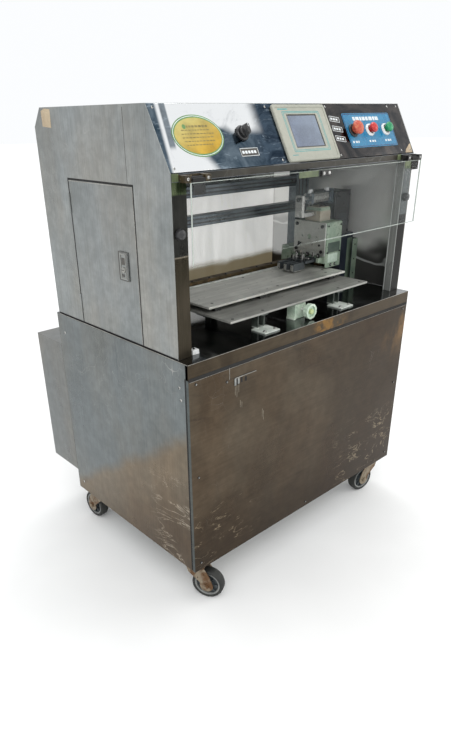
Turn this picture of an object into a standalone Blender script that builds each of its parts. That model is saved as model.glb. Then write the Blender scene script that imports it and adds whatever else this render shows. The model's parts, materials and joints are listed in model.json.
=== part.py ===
"""Vacuum packing machine: a stainless cabinet on casters with a guarded work chamber above it.

Metres, +Z up, the front facing -Y. The origin is on the floor under the middle of the machine.
Most places are given by spot(x, y, z), in millimetres from the deck's front left corner.
"""

from math import cos, pi, radians, sin

import bmesh
import bpy
from mathutils import Matrix, Vector

# Driving dimensions, millimetres
BASE_WIDTH = 980.0
BASE_DEPTH = 635.0
BASE_HEIGHT = 645.0
CASTER_HEIGHT = 137.0
REAR_DEPTH = 159.0
UPPER_INSET = 4.0
UPPER_FRONT = 41.0
UPPER_REAR = 627.0
UPPER_HEIGHT = 568.0
SLOPE_BOTTOM = 430.5
SLOPE_TOP_Y = 118.0
CHAMFER_Y = 38.0
CHAMFER_Z = 46.5
SHEET = 2.0
GAP = 0.3
POST_WIDTH = 42.0
BAND = 40.0

# How far the swivelled front left wheel stands out in front of the cabinet
WHEEL_OVERHANG = 26.5

DECK_Z = CASTER_HEIGHT + BASE_HEIGHT
LEFT = -BASE_WIDTH / 2
FRONT = -(BASE_DEPTH + REAR_DEPTH - WHEEL_OVERHANG) / 2
MM = 0.001

# Inner faces of the upper cabinet's side panels
INNER_LEFT = UPPER_INSET + SHEET
INNER_RIGHT = BASE_WIDTH - INNER_LEFT

SLOPE_ANGLE = radians(60.6)
SLOPE_LENGTH = 157.4

WHEEL_RADIUS = 50.0
WHEEL_WIDTH = 32.0
CASTER_TRAIL = 35.0
CASTER_INSET = 52.0
AXLE_RADIUS = 6.0

for old in list(bpy.data.objects):
    bpy.data.objects.remove(old)

PARTS = bpy.data.collections.new("vacuum_packing_machine")
CUTTERS = bpy.data.collections.new("cutters")
for group in (PARTS, CUTTERS):
    bpy.context.scene.collection.children.link(group)


# Helpers


def spot(x, y, z):
    """World point of a place measured from the deck's front left corner."""
    return Vector(((LEFT + x) * MM, (FRONT + y) * MM, (DECK_Z + z) * MM))


def axes(x_axis, y_axis, z_axis, origin):
    """Placement matrix with the given local axes, at a world origin."""
    turn = Matrix((x_axis, y_axis, z_axis)).transposed().to_4x4()
    return Matrix.Translation(origin) @ turn


ORIGIN = spot(0, 0, 0)
ALONG_X = axes((0, 1, 0), (0, 0, 1), (1, 0, 0), ORIGIN)  # outline in Y and Z
ALONG_Y = axes((1, 0, 0), (0, 0, 1), (0, -1, 0), ORIGIN)  # outline in X and Z
ALONG_Z = axes((1, 0, 0), (0, 1, 0), (0, 0, 1), ORIGIN)  # outline in X and Y


def on_slope(x, s, height=0.0):
    """Placement on the control panel: x across, s up the slope, height out of it."""
    up = Vector((0, cos(SLOPE_ANGLE), sin(SLOPE_ANGLE)))
    out = Vector((0, -sin(SLOPE_ANGLE), cos(SLOPE_ANGLE)))
    start = spot(0, UPPER_FRONT, SLOPE_BOTTOM)
    return axes((1, 0, 0), up, out, start + (Vector((x, 0, 0)) + up * s + out * height) * MM)


def material(name, colour, roughness, metallic=0.0, alpha=1.0):
    made = bpy.data.materials.new(name)
    made.use_nodes = True
    shader = made.node_tree.nodes["Principled BSDF"]
    shader.inputs["Base Color"].default_value = (*colour, 1.0)
    shader.inputs["Roughness"].default_value = roughness
    shader.inputs["Metallic"].default_value = metallic
    shader.inputs["Alpha"].default_value = alpha
    return made


BRUSHED = material("brushed_steel", (0.55, 0.56, 0.55), 0.35, 1.0)
POLISHED = material("polished_steel", (0.72, 0.73, 0.74), 0.12, 1.0)
CASTING = material("grey_green_casting", (0.42, 0.50, 0.43), 0.5, 0.2)
PLATE = material("machined_plate", (0.60, 0.60, 0.58), 0.4, 0.8)
RUSTY = material("rusty_steel", (0.22, 0.13, 0.07), 0.7, 0.5)
DARK = material("dark_steel", (0.05, 0.06, 0.07), 0.45, 0.6)
RUBBER = material("black_rubber", (0.02, 0.02, 0.02), 0.8)
ACRYLIC = material("clear_acrylic", (0.85, 0.88, 0.86), 0.05, 0.0, 0.25)
OPAL = material("opal_acrylic", (0.80, 0.80, 0.78), 0.4)
BEZEL = material("ivory_plastic", (0.78, 0.72, 0.62), 0.45)
SCREEN = material("screen", (0.25, 0.33, 0.38), 0.2)
BLUE = material("blue_plate", (0.02, 0.16, 0.34), 0.3)
RED = material("red_plastic", (0.70, 0.03, 0.02), 0.3)
GREEN = material("green_plastic", (0.02, 0.35, 0.10), 0.3)
WHITE = material("white_plastic", (0.85, 0.85, 0.83), 0.35)
BLACK = material("black_plastic", (0.02, 0.02, 0.02), 0.4)
PAINT = material("grey_paint", (0.45, 0.46, 0.46), 0.5)


def add(name, mesh, matrix, look):
    """Links a finished mesh as the object called name."""
    obj = bpy.data.objects.new(name, mesh)
    obj.matrix_world = matrix
    if not mesh.materials:
        mesh.materials.append(look)
    PARTS.objects.link(obj)
    return obj


def block(name, low, high, look, bevel=0.0):
    """A box between two spots."""
    low, high = spot(*low), spot(*high)
    shape = bmesh.new()
    bmesh.ops.create_cube(shape, size=1.0)
    bmesh.ops.scale(shape, vec=high - low, verts=shape.verts)
    mesh = bpy.data.meshes.new(name)
    shape.to_mesh(mesh)
    shape.free()
    obj = add(name, mesh, Matrix.Translation((low + high) / 2), look)
    if bevel:
        edge = obj.modifiers.new("edge", "BEVEL")
        edge.width = bevel * MM
        edge.segments = 2
    return obj


def slab(name, outline, low, high, matrix, look, holes=()):
    """A flat outline, with holes, filled and extruded from low to high along local Z."""
    curve = bpy.data.curves.new(name, "CURVE")
    curve.dimensions = "2D"
    curve.fill_mode = "BOTH"
    curve.extrude = (high - low) / 2 * MM
    for loop in (outline, *holes):
        spline = curve.splines.new("POLY")
        spline.points.add(len(loop) - 1)
        for point, (x, y) in zip(spline.points, loop):
            point.co = (x * MM, y * MM, 0, 1)
        spline.use_cyclic_u = True
    guide = bpy.data.objects.new(name + "_outline", curve)
    PARTS.objects.link(guide)
    bpy.context.view_layer.update()
    graph = bpy.context.evaluated_depsgraph_get()
    mesh = bpy.data.meshes.new_from_object(guide.evaluated_get(graph))
    bpy.data.objects.remove(guide)
    shape = bmesh.new()
    shape.from_mesh(mesh)
    bmesh.ops.remove_doubles(shape, verts=shape.verts, dist=1e-6)
    bmesh.ops.recalc_face_normals(shape, faces=shape.faces)
    bmesh.ops.translate(shape, vec=(0, 0, (low + high) / 2 * MM), verts=shape.verts)
    shape.to_mesh(mesh)
    shape.free()
    mesh.name = name
    return add(name, mesh, matrix, look)


def rectangle(x0, y0, x1, y1):
    return [(x0, y0), (x1, y0), (x1, y1), (x0, y1)]


def ring(x, y, radius, count=24):
    """Points of a circle, for a round outline or hole."""
    return [(x + radius * cos(2 * pi * i / count), y + radius * sin(2 * pi * i / count))
            for i in range(count)]


def channel(start, end, depth):
    """Outline of a thin U section from start to end across, its legs running back by depth."""
    (x0, y0), (x1, _) = start, end
    return [(x0, y0), (x1, y0), (x1, y0 + depth), (x1 - SHEET, y0 + depth),
            (x1 - SHEET, y0 + SHEET), (x0 + SHEET, y0 + SHEET), (x0 + SHEET, y0 + depth),
            (x0, y0 + depth)]


def turned(name, profile, matrix, look, steps=32):
    """A closed profile of (radius, height) points, down its outer side, turned about local Z."""
    mesh = bpy.data.meshes.new(name)
    shape = bmesh.new()
    points = [shape.verts.new((radius * MM, 0, height * MM)) for radius, height in profile]
    closed = profile[0][0] > 0
    pairs = list(zip(points, points[1:])) + ([(points[-1], points[0])] if closed else [])
    for pair in pairs:
        shape.edges.new(pair)
    shape.to_mesh(mesh)
    shape.free()
    obj = add(name, mesh, matrix, look)
    screw = obj.modifiers.new("turn", "SCREW")
    screw.steps = steps
    screw.render_steps = steps
    screw.use_merge_vertices = True
    screw.merge_threshold = 0.00001
    screw.use_smooth_shade = True
    return obj


def rod(name, start, end, radius, look, steps=20):
    """A round bar between two spots."""
    start, end = spot(*start), spot(*end)
    along = (end - start).normalized()
    matrix = Matrix.Translation(start) @ Vector((0, 0, 1)).rotation_difference(along).to_matrix().to_4x4()
    length = (end - start).length / MM
    return turned(name, [(0, length), (radius, length), (radius, 0), (0, 0)], matrix, look, steps)


def combine(target, tools, operation):
    """Joins the tools to the target, or cuts them from it, and keeps them as cutters."""
    for tool in tools:
        PARTS.objects.unlink(tool)
        CUTTERS.objects.link(tool)
        tool.hide_render = True
        tool.display_type = "WIRE"
        step = target.modifiers.new(tool.name, "BOOLEAN")
        step.operation = operation
        step.object = tool
    return target


def join(target, *tools):
    return combine(target, tools, "UNION")


def cut(target, *tools):
    return combine(target, tools, "DIFFERENCE")


def pivot(name, place, parts, parent=None):
    """An empty on a joint's axis, with the moving parts parented to it."""
    empty = bpy.data.objects.new(name, None)
    empty.empty_display_size = 0.05
    PARTS.objects.link(empty)
    empty.location = place
    if parent:
        empty.parent = parent
        empty.matrix_parent_inverse = Matrix.Translation(-parent.matrix_world.translation)
    bpy.context.view_layer.update()
    for part in parts:
        part.parent = empty
        part.matrix_parent_inverse = empty.matrix_world.inverted()
    return empty


# Base cabinet


def make_base():
    bottom = -BASE_HEIGHT
    tray = 10.0
    side_front = tray + 1.5
    rear = BASE_DEPTH - SHEET
    top = -SHEET - GAP
    for side, x in (("left", 0.0), ("right", BASE_WIDTH - SHEET)):
        block(f"base_{side}_panel", (x, side_front, bottom), (x + SHEET, rear - GAP, top), BRUSHED)
    cable_hole = rectangle(300, -480, 680, -200)
    slab("base_rear_panel", rectangle(0, bottom, BASE_WIDTH, top), -BASE_DEPTH, -rear,
         ALONG_Y, BRUSHED, [cable_hole])
    deck = [(0, -BAND), (SHEET, -BAND), (SHEET, -SHEET), (BASE_DEPTH, -SHEET), (BASE_DEPTH, 0), (0, 0)]
    slab("deck_plate", deck, 0, BASE_WIDTH, ALONG_X, BRUSHED)

    front = block("base_front_panel", (0, 0, bottom), (BASE_WIDTH, tray, -BAND - SHEET), BRUSHED)
    hollow = block("front_hollow", (SHEET, SHEET, bottom + SHEET),
                   (BASE_WIDTH - SHEET, tray + 5, -BAND - 2 * SHEET), BRUSHED)
    cut(front, hollow)

    floor = block("base_floor", (SHEET + GAP, side_front, bottom),
                  (BASE_WIDTH - SHEET - GAP, rear - GAP, bottom + SHEET), BRUSHED)
    plates = []
    for name, x, y, _ in CASTERS:
        plates.append(block(name + "_plate", (x - 45, y - 38, bottom - 5),
                            (x + 45, y + 38, bottom + 0.5), PLATE))
        plates.append(rod(name + "_raceway", (x, y, bottom - 17), (x, y, bottom - 3), 29, PLATE, 24))
    join(floor, *plates)


def make_rear_housing():
    """The box on the cabinet's back, a thin shell open towards the cabinet, with cooling slots."""
    low, high = -574.0, -105.0
    near, far = BASE_DEPTH + GAP, BASE_DEPTH + REAR_DEPTH
    housing = block("rear_housing", (0, near, low), (BASE_WIDTH, far, high), BRUSHED)
    hollow = block("rear_hollow", (SHEET, near - 5, low + SHEET),
                   (BASE_WIDTH - SHEET, far - SHEET, high - SHEET), BRUSHED)
    slots = [block(f"cooling_slot_{i}_{j}", (180 + 460 * i, far - 6, -240 + 28 * j),
                   (340 + 460 * i, far + 4, -232 + 28 * j), BRUSHED)
             for i in range(2) for j in range(4)]
    cut(housing, hollow, *slots)
    block("electrical_box", (560, 655, low + SHEET + GAP), (860, 765, -340), PAINT, 3)


def make_pump():
    """The vacuum pump and its motor stand on the cabinet floor."""
    floor = -BASE_HEIGHT + SHEET + GAP
    pump = block("vacuum_pump", (170, 230, floor), (470, 420, floor + 190), CASTING, 6)
    flange = rod("pump_inlet", (250, 325, floor + 180), (250, 325, floor + 235), 22, CASTING)
    filter_bowl = rod("pump_filter", (385, 325, floor + 180), (385, 325, floor + 250), 45, CASTING)
    join(pump, flange, filter_bowl)
    motor = rod("pump_motor", (470.5, 325, floor + 100), (730, 325, floor + 100), 78, PAINT, 32)
    foot = block("motor_foot", (520, 265, floor), (680, 385, floor + 60), PAINT)
    terminals = block("motor_terminals", (560, 280, floor + 150), (650, 370, floor + 205), PAINT)
    join(motor, foot, terminals)


# Casters: name, kingpin x and y, direction in which the wheel trails, degrees

RIGHT_INSET = BASE_WIDTH - CASTER_INSET
REAR_INSET = BASE_DEPTH - CASTER_INSET
CASTERS = [
    ("front_left", CASTER_INSET, CASTER_INSET, -61.0),
    ("rear_left", CASTER_INSET, REAR_INSET, 93.0),
    ("front_right", RIGHT_INSET, CASTER_INSET, 172.0),
    ("rear_right", RIGHT_INSET, REAR_INSET, 120.0),
]


def fork_leg():
    """Outline of a fork leg, in trail and height, with a round end about the axle."""
    axle_height = WHEEL_RADIUS
    boss = 21.0
    end = [(CASTER_TRAIL + boss * cos(radians(a)), axle_height + boss * sin(radians(a)))
           for a in range(50, -191, -20)]
    return [(-27, 115), (27, 115), *end, (-27, 100)]


def make_caster(name, x, y, trail):
    """A swivel fork with its axle, and a wheel with its tyre, on a raceway under the cabinet."""
    direction = Vector((cos(radians(trail)), sin(radians(trail)), 0))
    across = Vector((0, 0, 1)).cross(direction)
    ground = spot(x, y, -DECK_Z)
    upright = axes(direction, (0, 0, 1), direction.cross(Vector((0, 0, 1))), ground)
    inner = WHEEL_WIDTH / 2 + 2.5
    outer = inner + 4.0
    leg = slab(f"caster_fork_{name}", fork_leg(), -outer, -inner, upright, PLATE)
    other = slab(f"fork_leg_{name}", fork_leg(), inner, outer, upright, PLATE)
    crown = slab(f"fork_crown_{name}", rectangle(-27, 109, 27, 115), -outer, outer, upright, PLATE)
    flat = Matrix.Translation(ground)
    swivel = turned(f"fork_swivel_{name}", [(0, 119.6), (27, 119.6), (27, 112), (0, 112)], flat, PLATE)
    wheel_centre = ground + (direction * CASTER_TRAIL + Vector((0, 0, WHEEL_RADIUS))) * MM
    spin = axes(direction, across.cross(direction), across, wheel_centre)
    axle = turned(f"axle_{name}", [(0, outer + 4), (9, outer + 4), (9, outer - 1), (AXLE_RADIUS, outer - 1),
                                   (AXLE_RADIUS, 1 - outer), (9, 1 - outer), (9, -outer - 4), (0, -outer - 4)],
                  spin, PLATE, 20)
    join(leg, other, crown, swivel, axle)
    half = WHEEL_WIDTH / 2
    bore = AXLE_RADIUS + GAP
    profile = [(bore, half), (15, half), (17, half - 7), (36, half - 7), (39, half),
               (46, half), (WHEEL_RADIUS, half - 7)]
    mirrored = [(radius, -height) for radius, height in reversed(profile)]
    wheel = turned(f"caster_wheel_{name}", profile + mirrored, spin, RUBBER, 24)
    fork_pivot = pivot(f"swivel_{name}", ground, [leg])
    pivot(f"roll_{name}", wheel_centre, [wheel], fork_pivot)


# Upper cabinet


def side_outline():
    """The upper cabinet's side: sloped at the front, chamfered at the top rear."""
    return [(UPPER_FRONT, GAP), (UPPER_REAR, GAP), (UPPER_REAR, UPPER_HEIGHT - CHAMFER_Z),
            (UPPER_REAR - CHAMFER_Y, UPPER_HEIGHT), (SLOPE_TOP_Y, UPPER_HEIGHT),
            (UPPER_FRONT, SLOPE_BOTTOM)]


def make_upper():
    door_notch = [(184, GAP), (184, 396.5), (480, 396.5), (480, GAP)]
    left = side_outline()
    left[1:1] = door_notch
    slab("upper_left_panel", left, UPPER_INSET, INNER_LEFT, ALONG_X, BRUSHED)
    slab("upper_right_panel", side_outline(), INNER_RIGHT, BASE_WIDTH - UPPER_INSET, ALONG_X, POLISHED)

    inside = (INNER_LEFT + GAP, INNER_RIGHT - GAP)
    roof = [(SLOPE_TOP_Y + 2, UPPER_HEIGHT), (UPPER_REAR - CHAMFER_Y, UPPER_HEIGHT),
            (UPPER_REAR, UPPER_HEIGHT - CHAMFER_Z), (UPPER_REAR - 3.1, UPPER_HEIGHT - CHAMFER_Z),
            (UPPER_REAR - CHAMFER_Y - 1, UPPER_HEIGHT - SHEET), (SLOPE_TOP_Y + 2, UPPER_HEIGHT - SHEET)]
    slab("roof_panel", roof, *inside, ALONG_X, BRUSHED)
    window = rectangle(40, 12, 940, 290)
    slab("upper_rear_wall", rectangle(inside[0], GAP, inside[1], UPPER_HEIGHT - CHAMFER_Z - 1),
         -UPPER_REAR, -(UPPER_REAR - SHEET), ALONG_Y, POLISHED, [window])
    block("rear_window", (INNER_LEFT + 3, UPPER_REAR - SHEET - 4.3, 2), (INNER_RIGHT - 3, UPPER_REAR - SHEET - GAP, 302),
          OPAL)
    lip = 412.0
    top = SLOPE_BOTTOM - 1.5
    ceiling = [(UPPER_FRONT, lip), (UPPER_FRONT + SHEET, lip), (UPPER_FRONT + SHEET, top - SHEET),
               (UPPER_REAR - SHEET - GAP, top - SHEET), (UPPER_REAR - SHEET - GAP, top), (UPPER_FRONT, top)]
    slab("chamber_ceiling", ceiling, *inside, ALONG_X, POLISHED)
    post_top = lip - GAP
    for side, x0 in (("left", inside[0]), ("right", inside[1] - POST_WIDTH)):
        slab(f"{side}_front_post", channel((x0, UPPER_FRONT), (x0 + POST_WIDTH, UPPER_FRONT), 30),
             GAP, post_top, ALONG_Z, POLISHED)

    holes = [rectangle(404, 30, 584, 142), ring(SELECTOR_X, SELECTOR_S, BUTTON_HOLE)]
    holes += [ring(x, BUTTON_S, BUTTON_HOLE) for x in BUTTON_XS]
    slab("control_panel", rectangle(inside[0], 1, inside[1], SLOPE_LENGTH - 0.5), -SHEET, 0,
         on_slope(0, 0), POLISHED, holes)


def make_service_door():
    """The flush door in the left side, hinged on its rear edge. Its latch stands unlocked, cam up."""
    y0, y1, z0, z1 = 186.0, 478.0, 3.0, 394.5
    inner = UPPER_INSET + 15
    door = block("service_door", (UPPER_INSET, y0, z0), (inner, y1, z1), BRUSHED)
    hollow = block("door_hollow", (INNER_LEFT, y0 + SHEET, z0 + SHEET), (inner + 5, y1 - SHEET, z1 - SHEET), BRUSHED)
    latch_y, latch_z = 244.0, 201.0
    shaft_radius = 6.0
    hole = rod("latch_hole", (0, latch_y, latch_z), (12, latch_y, latch_z), shaft_radius + 0.4, BRUSHED)
    cut(door, hollow, hole)
    plate_x = UPPER_INSET - GAP
    latch = block("service_latch", (plate_x - 3, latch_y - 20, latch_z - 37), (plate_x, latch_y + 20, latch_z + 37),
                  PLATE, 1)
    shaft = rod("latch_shaft", (plate_x - 1, latch_y, latch_z), (24, latch_y, latch_z), shaft_radius, PLATE)
    cam = block("latch_cam", (21, latch_y - 9, latch_z - 9), (24, latch_y + 9, latch_z + 68), PLATE)
    join(latch, shaft, cam)
    door_pivot = pivot("service_door_hinge", spot(UPPER_INSET - 1, 480, 200), [door])
    pivot("service_latch_axis", spot(plate_x, latch_y, latch_z), [latch], door_pivot)


# Controls on the sloped panel

BUTTON_HOLE = 11.2
BUTTON_S = 76.5
BUTTON_XS = (700.0, 780.0, 860.0)
SELECTOR_X, SELECTOR_S = 260.0, 82.0
LABEL_TOP = GAP + 1.0


def make_collar(name, x, flange, recess, look):
    """A button's body: a flange on the panel, a neck through it, and the contact block behind."""
    low = LABEL_TOP + GAP
    profile = [(recess, 10), (flange - 1, 10), (flange, 8.5), (flange, low), (10.8, low), (10.8, -8),
               (14, -8), (14, -48), (0, -48), (0, -11), (7.4, -11), (7.4, 3), (recess, 3)]
    start = profile.index((0, -48))
    ordered = profile[start + 1:] + profile[:start + 1]
    return turned(name, ordered, on_slope(x, BUTTON_S), look, 20)


def make_cap(name, x, profile, look):
    cap = turned(name, profile, on_slope(x, BUTTON_S), look, 20)
    pivot(name + "_slide", cap.matrix_world.translation.copy(), [cap])


def make_controls():
    holes = [ring(x, BUTTON_S, BUTTON_HOLE) for x in BUTTON_XS]
    slab("button_plate", rectangle(671, 27, 902, 128), GAP, LABEL_TOP, on_slope(0, 0), BLUE, holes)
    make_collar("estop_collar", BUTTON_XS[0], 19, 12.5, BLACK)
    make_collar("stop_collar", BUTTON_XS[1], 15, 11.3, WHITE)
    make_collar("start_collar", BUTTON_XS[2], 15, 11.3, WHITE)
    stem = [(7, 4), (7, -4), (0, -4)]
    mushroom = [(0, 32), (11, 31), (17, 28), (20, 23), (20, 19), (16, 17), (12, 17), (12, 9), (7, 9)]
    button = [(0, 17), (9.5, 16.5), (11, 15), (11, 8), (7, 8)]
    make_cap("estop_button", BUTTON_XS[0], mushroom + stem, RED)
    make_cap("stop_button", BUTTON_XS[1], button + stem, RED)
    make_cap("start_button", BUTTON_XS[2], button + stem, GREEN)

    place = on_slope(SELECTOR_X, SELECTOR_S)
    turned("selector_ring", [(13, 6), (16, 6), (18, 4), (18, GAP), (10.8, GAP), (10.8, -30), (7.4, -30),
                             (7.4, 2), (13, 2)], place, BLACK, 20)
    knob = turned("selector_knob", [(0, 20), (10.5, 20), (12, 18), (12, 3), (7, 3), (7, -28), (0, -28)],
                  place, BLACK, 20)
    grip = slab("knob_grip", rectangle(-3.2, -14, 3.2, 14), 12, 27, place, BLACK)
    join(knob, grip)
    pivot("selector_axis", place.translation.copy(), [knob])


def make_touch_panel():
    """The bezel on the slope, its housing through the cut-out, and the screen set into its face."""
    place = on_slope(0, 0)
    panel = slab("touch_panel", rectangle(390, 0.5, 598, 152), GAP, 7, place, BEZEL)
    body = slab("touch_body", rectangle(406, 32, 582, 140), -30, 1, place, BEZEL)
    pocket = slab("touch_pocket", rectangle(422, 29, 566, 132), 5, 9, place, BEZEL)
    edge = panel.modifiers.new("edge", "BEVEL")
    edge.width = 1.5 * MM
    edge.segments = 2
    join(panel, body)
    cut(panel, pocket)
    slab("touch_screen", rectangle(422.5, 29.5, 565.5, 131.5), 5 + GAP, 6.4, place, SCREEN)


# Guard in front of the work chamber

GUARD_Y = 10.0
GUARD_TOP = 411.0
GUARD_PIVOT = (0, 24.0, 418.0)


def make_guard():
    """A hanging acrylic pane on two block hinges under the control panel's lower edge."""
    _, axis_y, axis_z = GUARD_PIVOT
    half = 1.5
    leaves = []
    pane = block("guard_pane", (35, GUARD_Y - half, 228), (970, GUARD_Y + half, GUARD_TOP), ACRYLIC)
    for side, x0 in (("left", 26.0), ("right", 906.0)):
        x1 = x0 + 72
        barrel = 5.5
        fixed = block(f"guard_hinge_{side}", (x0, 33, 413), (x1, UPPER_FRONT - GAP, 427), DARK)
        knuckles = [rod(f"knuckle_{side}_{i}", (x, axis_y, axis_z), (x + 17, axis_y, axis_z), barrel, DARK)
                    for i, x in enumerate((x0, x1 - 17))]
        webs = [block(f"web_{side}_{i}", (x, axis_y, axis_z - 3), (x + 17, 34, axis_z + 3), DARK)
                for i, x in enumerate((x0, x1 - 17))]
        pin = rod(f"pin_{side}", (x0 + 2, axis_y, axis_z), (x1 - 2, axis_y, axis_z), 2.5, DARK)
        join(fixed, *knuckles, *webs, pin)
        leaf = rod(f"guard_leaf_{side}", (x0 + 18, axis_y, axis_z), (x1 - 18, axis_y, axis_z), barrel, RUSTY)
        bore = rod(f"leaf_bore_{side}", (x0, axis_y, axis_z), (x1, axis_y, axis_z), 2.9, RUSTY)
        arm = block(f"leaf_arm_{side}", (x0 + 18, GUARD_Y + half + GAP, axis_z - 4), (x1 - 18, axis_y, axis_z + 2), RUSTY)
        drop = block(f"leaf_drop_{side}", (x0 + 18, GUARD_Y + half + GAP, 385), (x1 - 18, GUARD_Y + 5, axis_z + 2),
                     RUSTY)
        join(leaf, arm, drop)
        cut(leaf, bore)
        leaves.append(leaf)
    pivot("guard_axis", spot(BASE_WIDTH / 2, axis_y, axis_z), [pane, *leaves])


# Work chamber

TABLE_LEFT, TABLE_RIGHT = 192.0, 804.0
LOWER_TOP = 55.0
UPPER_TOP = 75.0
TABLE_SHEET = 6.0
SCREW_X, SCREW_Z = 494.0, 25.0
SCREW_RADIUS = 5.0


def make_table():
    """The lower plate stands on two bridges with feet. The upper one slides on it, on three skids."""
    slot = rectangle(SCREW_X - 9, 165, SCREW_X + 9, 240)
    slab("lower_table_plate", rectangle(TABLE_LEFT, 50, TABLE_RIGHT, 320), LOWER_TOP - TABLE_SHEET, LOWER_TOP,
         ALONG_Z, PLATE, [slot])
    leg_top = LOWER_TOP - TABLE_SHEET - GAP
    for side, x in (("left", 330.0), ("right", 671.0)):
        leg = block(f"table_leg_{side}", (x - 14, 56, leg_top - 6), (x + 14, 296, leg_top), PLATE)
        pieces = []
        for i, (foot_y, web_y) in enumerate(((25, 70), (262, 270))):
            pieces.append(block(f"leg_foot_{side}_{i}", (x - 30, foot_y, GAP), (x + 30, foot_y + 55, 4), PLATE))
            pieces += [block(f"leg_web_{side}_{i}_{j}", (x + dx - 2, web_y, 3), (x + dx + 2, web_y + 24, leg_top - 3),
                             PLATE) for j, dx in enumerate((-12, 12))]
        join(leg, *pieces)

    upper = block("upper_table_plate", (TABLE_LEFT + 3, 138, UPPER_TOP - TABLE_SHEET), (TABLE_RIGHT - 3, 340, UPPER_TOP),
                  PLATE)
    skids = [block(f"table_skid_{i}", (x - 12, 150, LOWER_TOP + GAP), (x + 12, 310, UPPER_TOP - 5), PLATE)
             for i, x in enumerate((240.0, 420.0, 750.0))]
    nut = block("table_nut", (SCREW_X - 6, 205, SCREW_Z - 12), (SCREW_X + 6, 228, UPPER_TOP - 5), PLATE)
    screw_hole = rod("nut_hole", (SCREW_X, 195, SCREW_Z), (SCREW_X, 240, SCREW_Z), SCREW_RADIUS + 0.4, PLATE)
    join(upper, *skids, nut)
    cut(upper, screw_hole)
    pivot("table_slide", spot(SCREW_X, 216, SCREW_Z), [upper])

    bracket = block("handwheel_bracket", (SCREW_X - 32, 58, GAP), (SCREW_X + 14, 92, 45), CASTING, 2)
    bearing = rod("bracket_bearing", (SCREW_X, 50, SCREW_Z), (SCREW_X, 100, SCREW_Z), SCREW_RADIUS + 0.4, CASTING)
    cut(bracket, bearing)
    wheel_place = axes((1, 0, 0), (0, 0, 1), (0, -1, 0), spot(SCREW_X, 30, SCREW_Z))
    profile = [(0, 10), (7, 10), (9, 7), (9, 3), (16, 1), (18, 7), (21, 7), (23, 4), (23, -4), (21, -7),
               (18, -7), (15, -4), (9, -5), (9, -20), (SCREW_RADIUS, -20), (SCREW_RADIUS, -220), (0, -220)]
    wheel = turned("handwheel", profile, wheel_place, CASTING, 20)
    pivot("handwheel_axis", spot(SCREW_X, 30, SCREW_Z), [wheel])


def make_gantry():
    """A welded frame of square tube across the back of the chamber, with one post at its right."""
    y0, y1 = 452.0, 487.0
    left, right = 22.0, INNER_RIGHT - GAP
    post = block("rear_gantry", (905, y0, GAP), (right, y1, SLOPE_BOTTOM - 4), DARK)
    rails = [block(f"gantry_rail_{i}", (left, y0 + 1, z), (910, y1 - 1, z + 33), DARK)
             for i, z in enumerate((226.0, 314.0))]
    join(post, *rails)
    rail = block("guide_rail", (60, 356, 55), (962, 384, 83), RUSTY)
    ends = [block(f"rail_end_{i}", (x, 352, GAP), (x + 22, 388, 70), RUSTY) for i, x in enumerate((50.0, 950.0))]
    join(rail, *ends)


# Head at the right end of the table

HEAD_LEFT, HEAD_RIGHT = 768.3, 850.0
HEAD_FRONT, HEAD_REAR = 200.0, 332.0
HEAD_LOW, HEAD_HIGH = 92.0, 225.0
ROD_Y, ROD_Z = 262.0, 298.0
CLAMP_X, CLAMP_Z = 755.0, 104.0
CLAMP_RADIUS = 7.0


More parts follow.
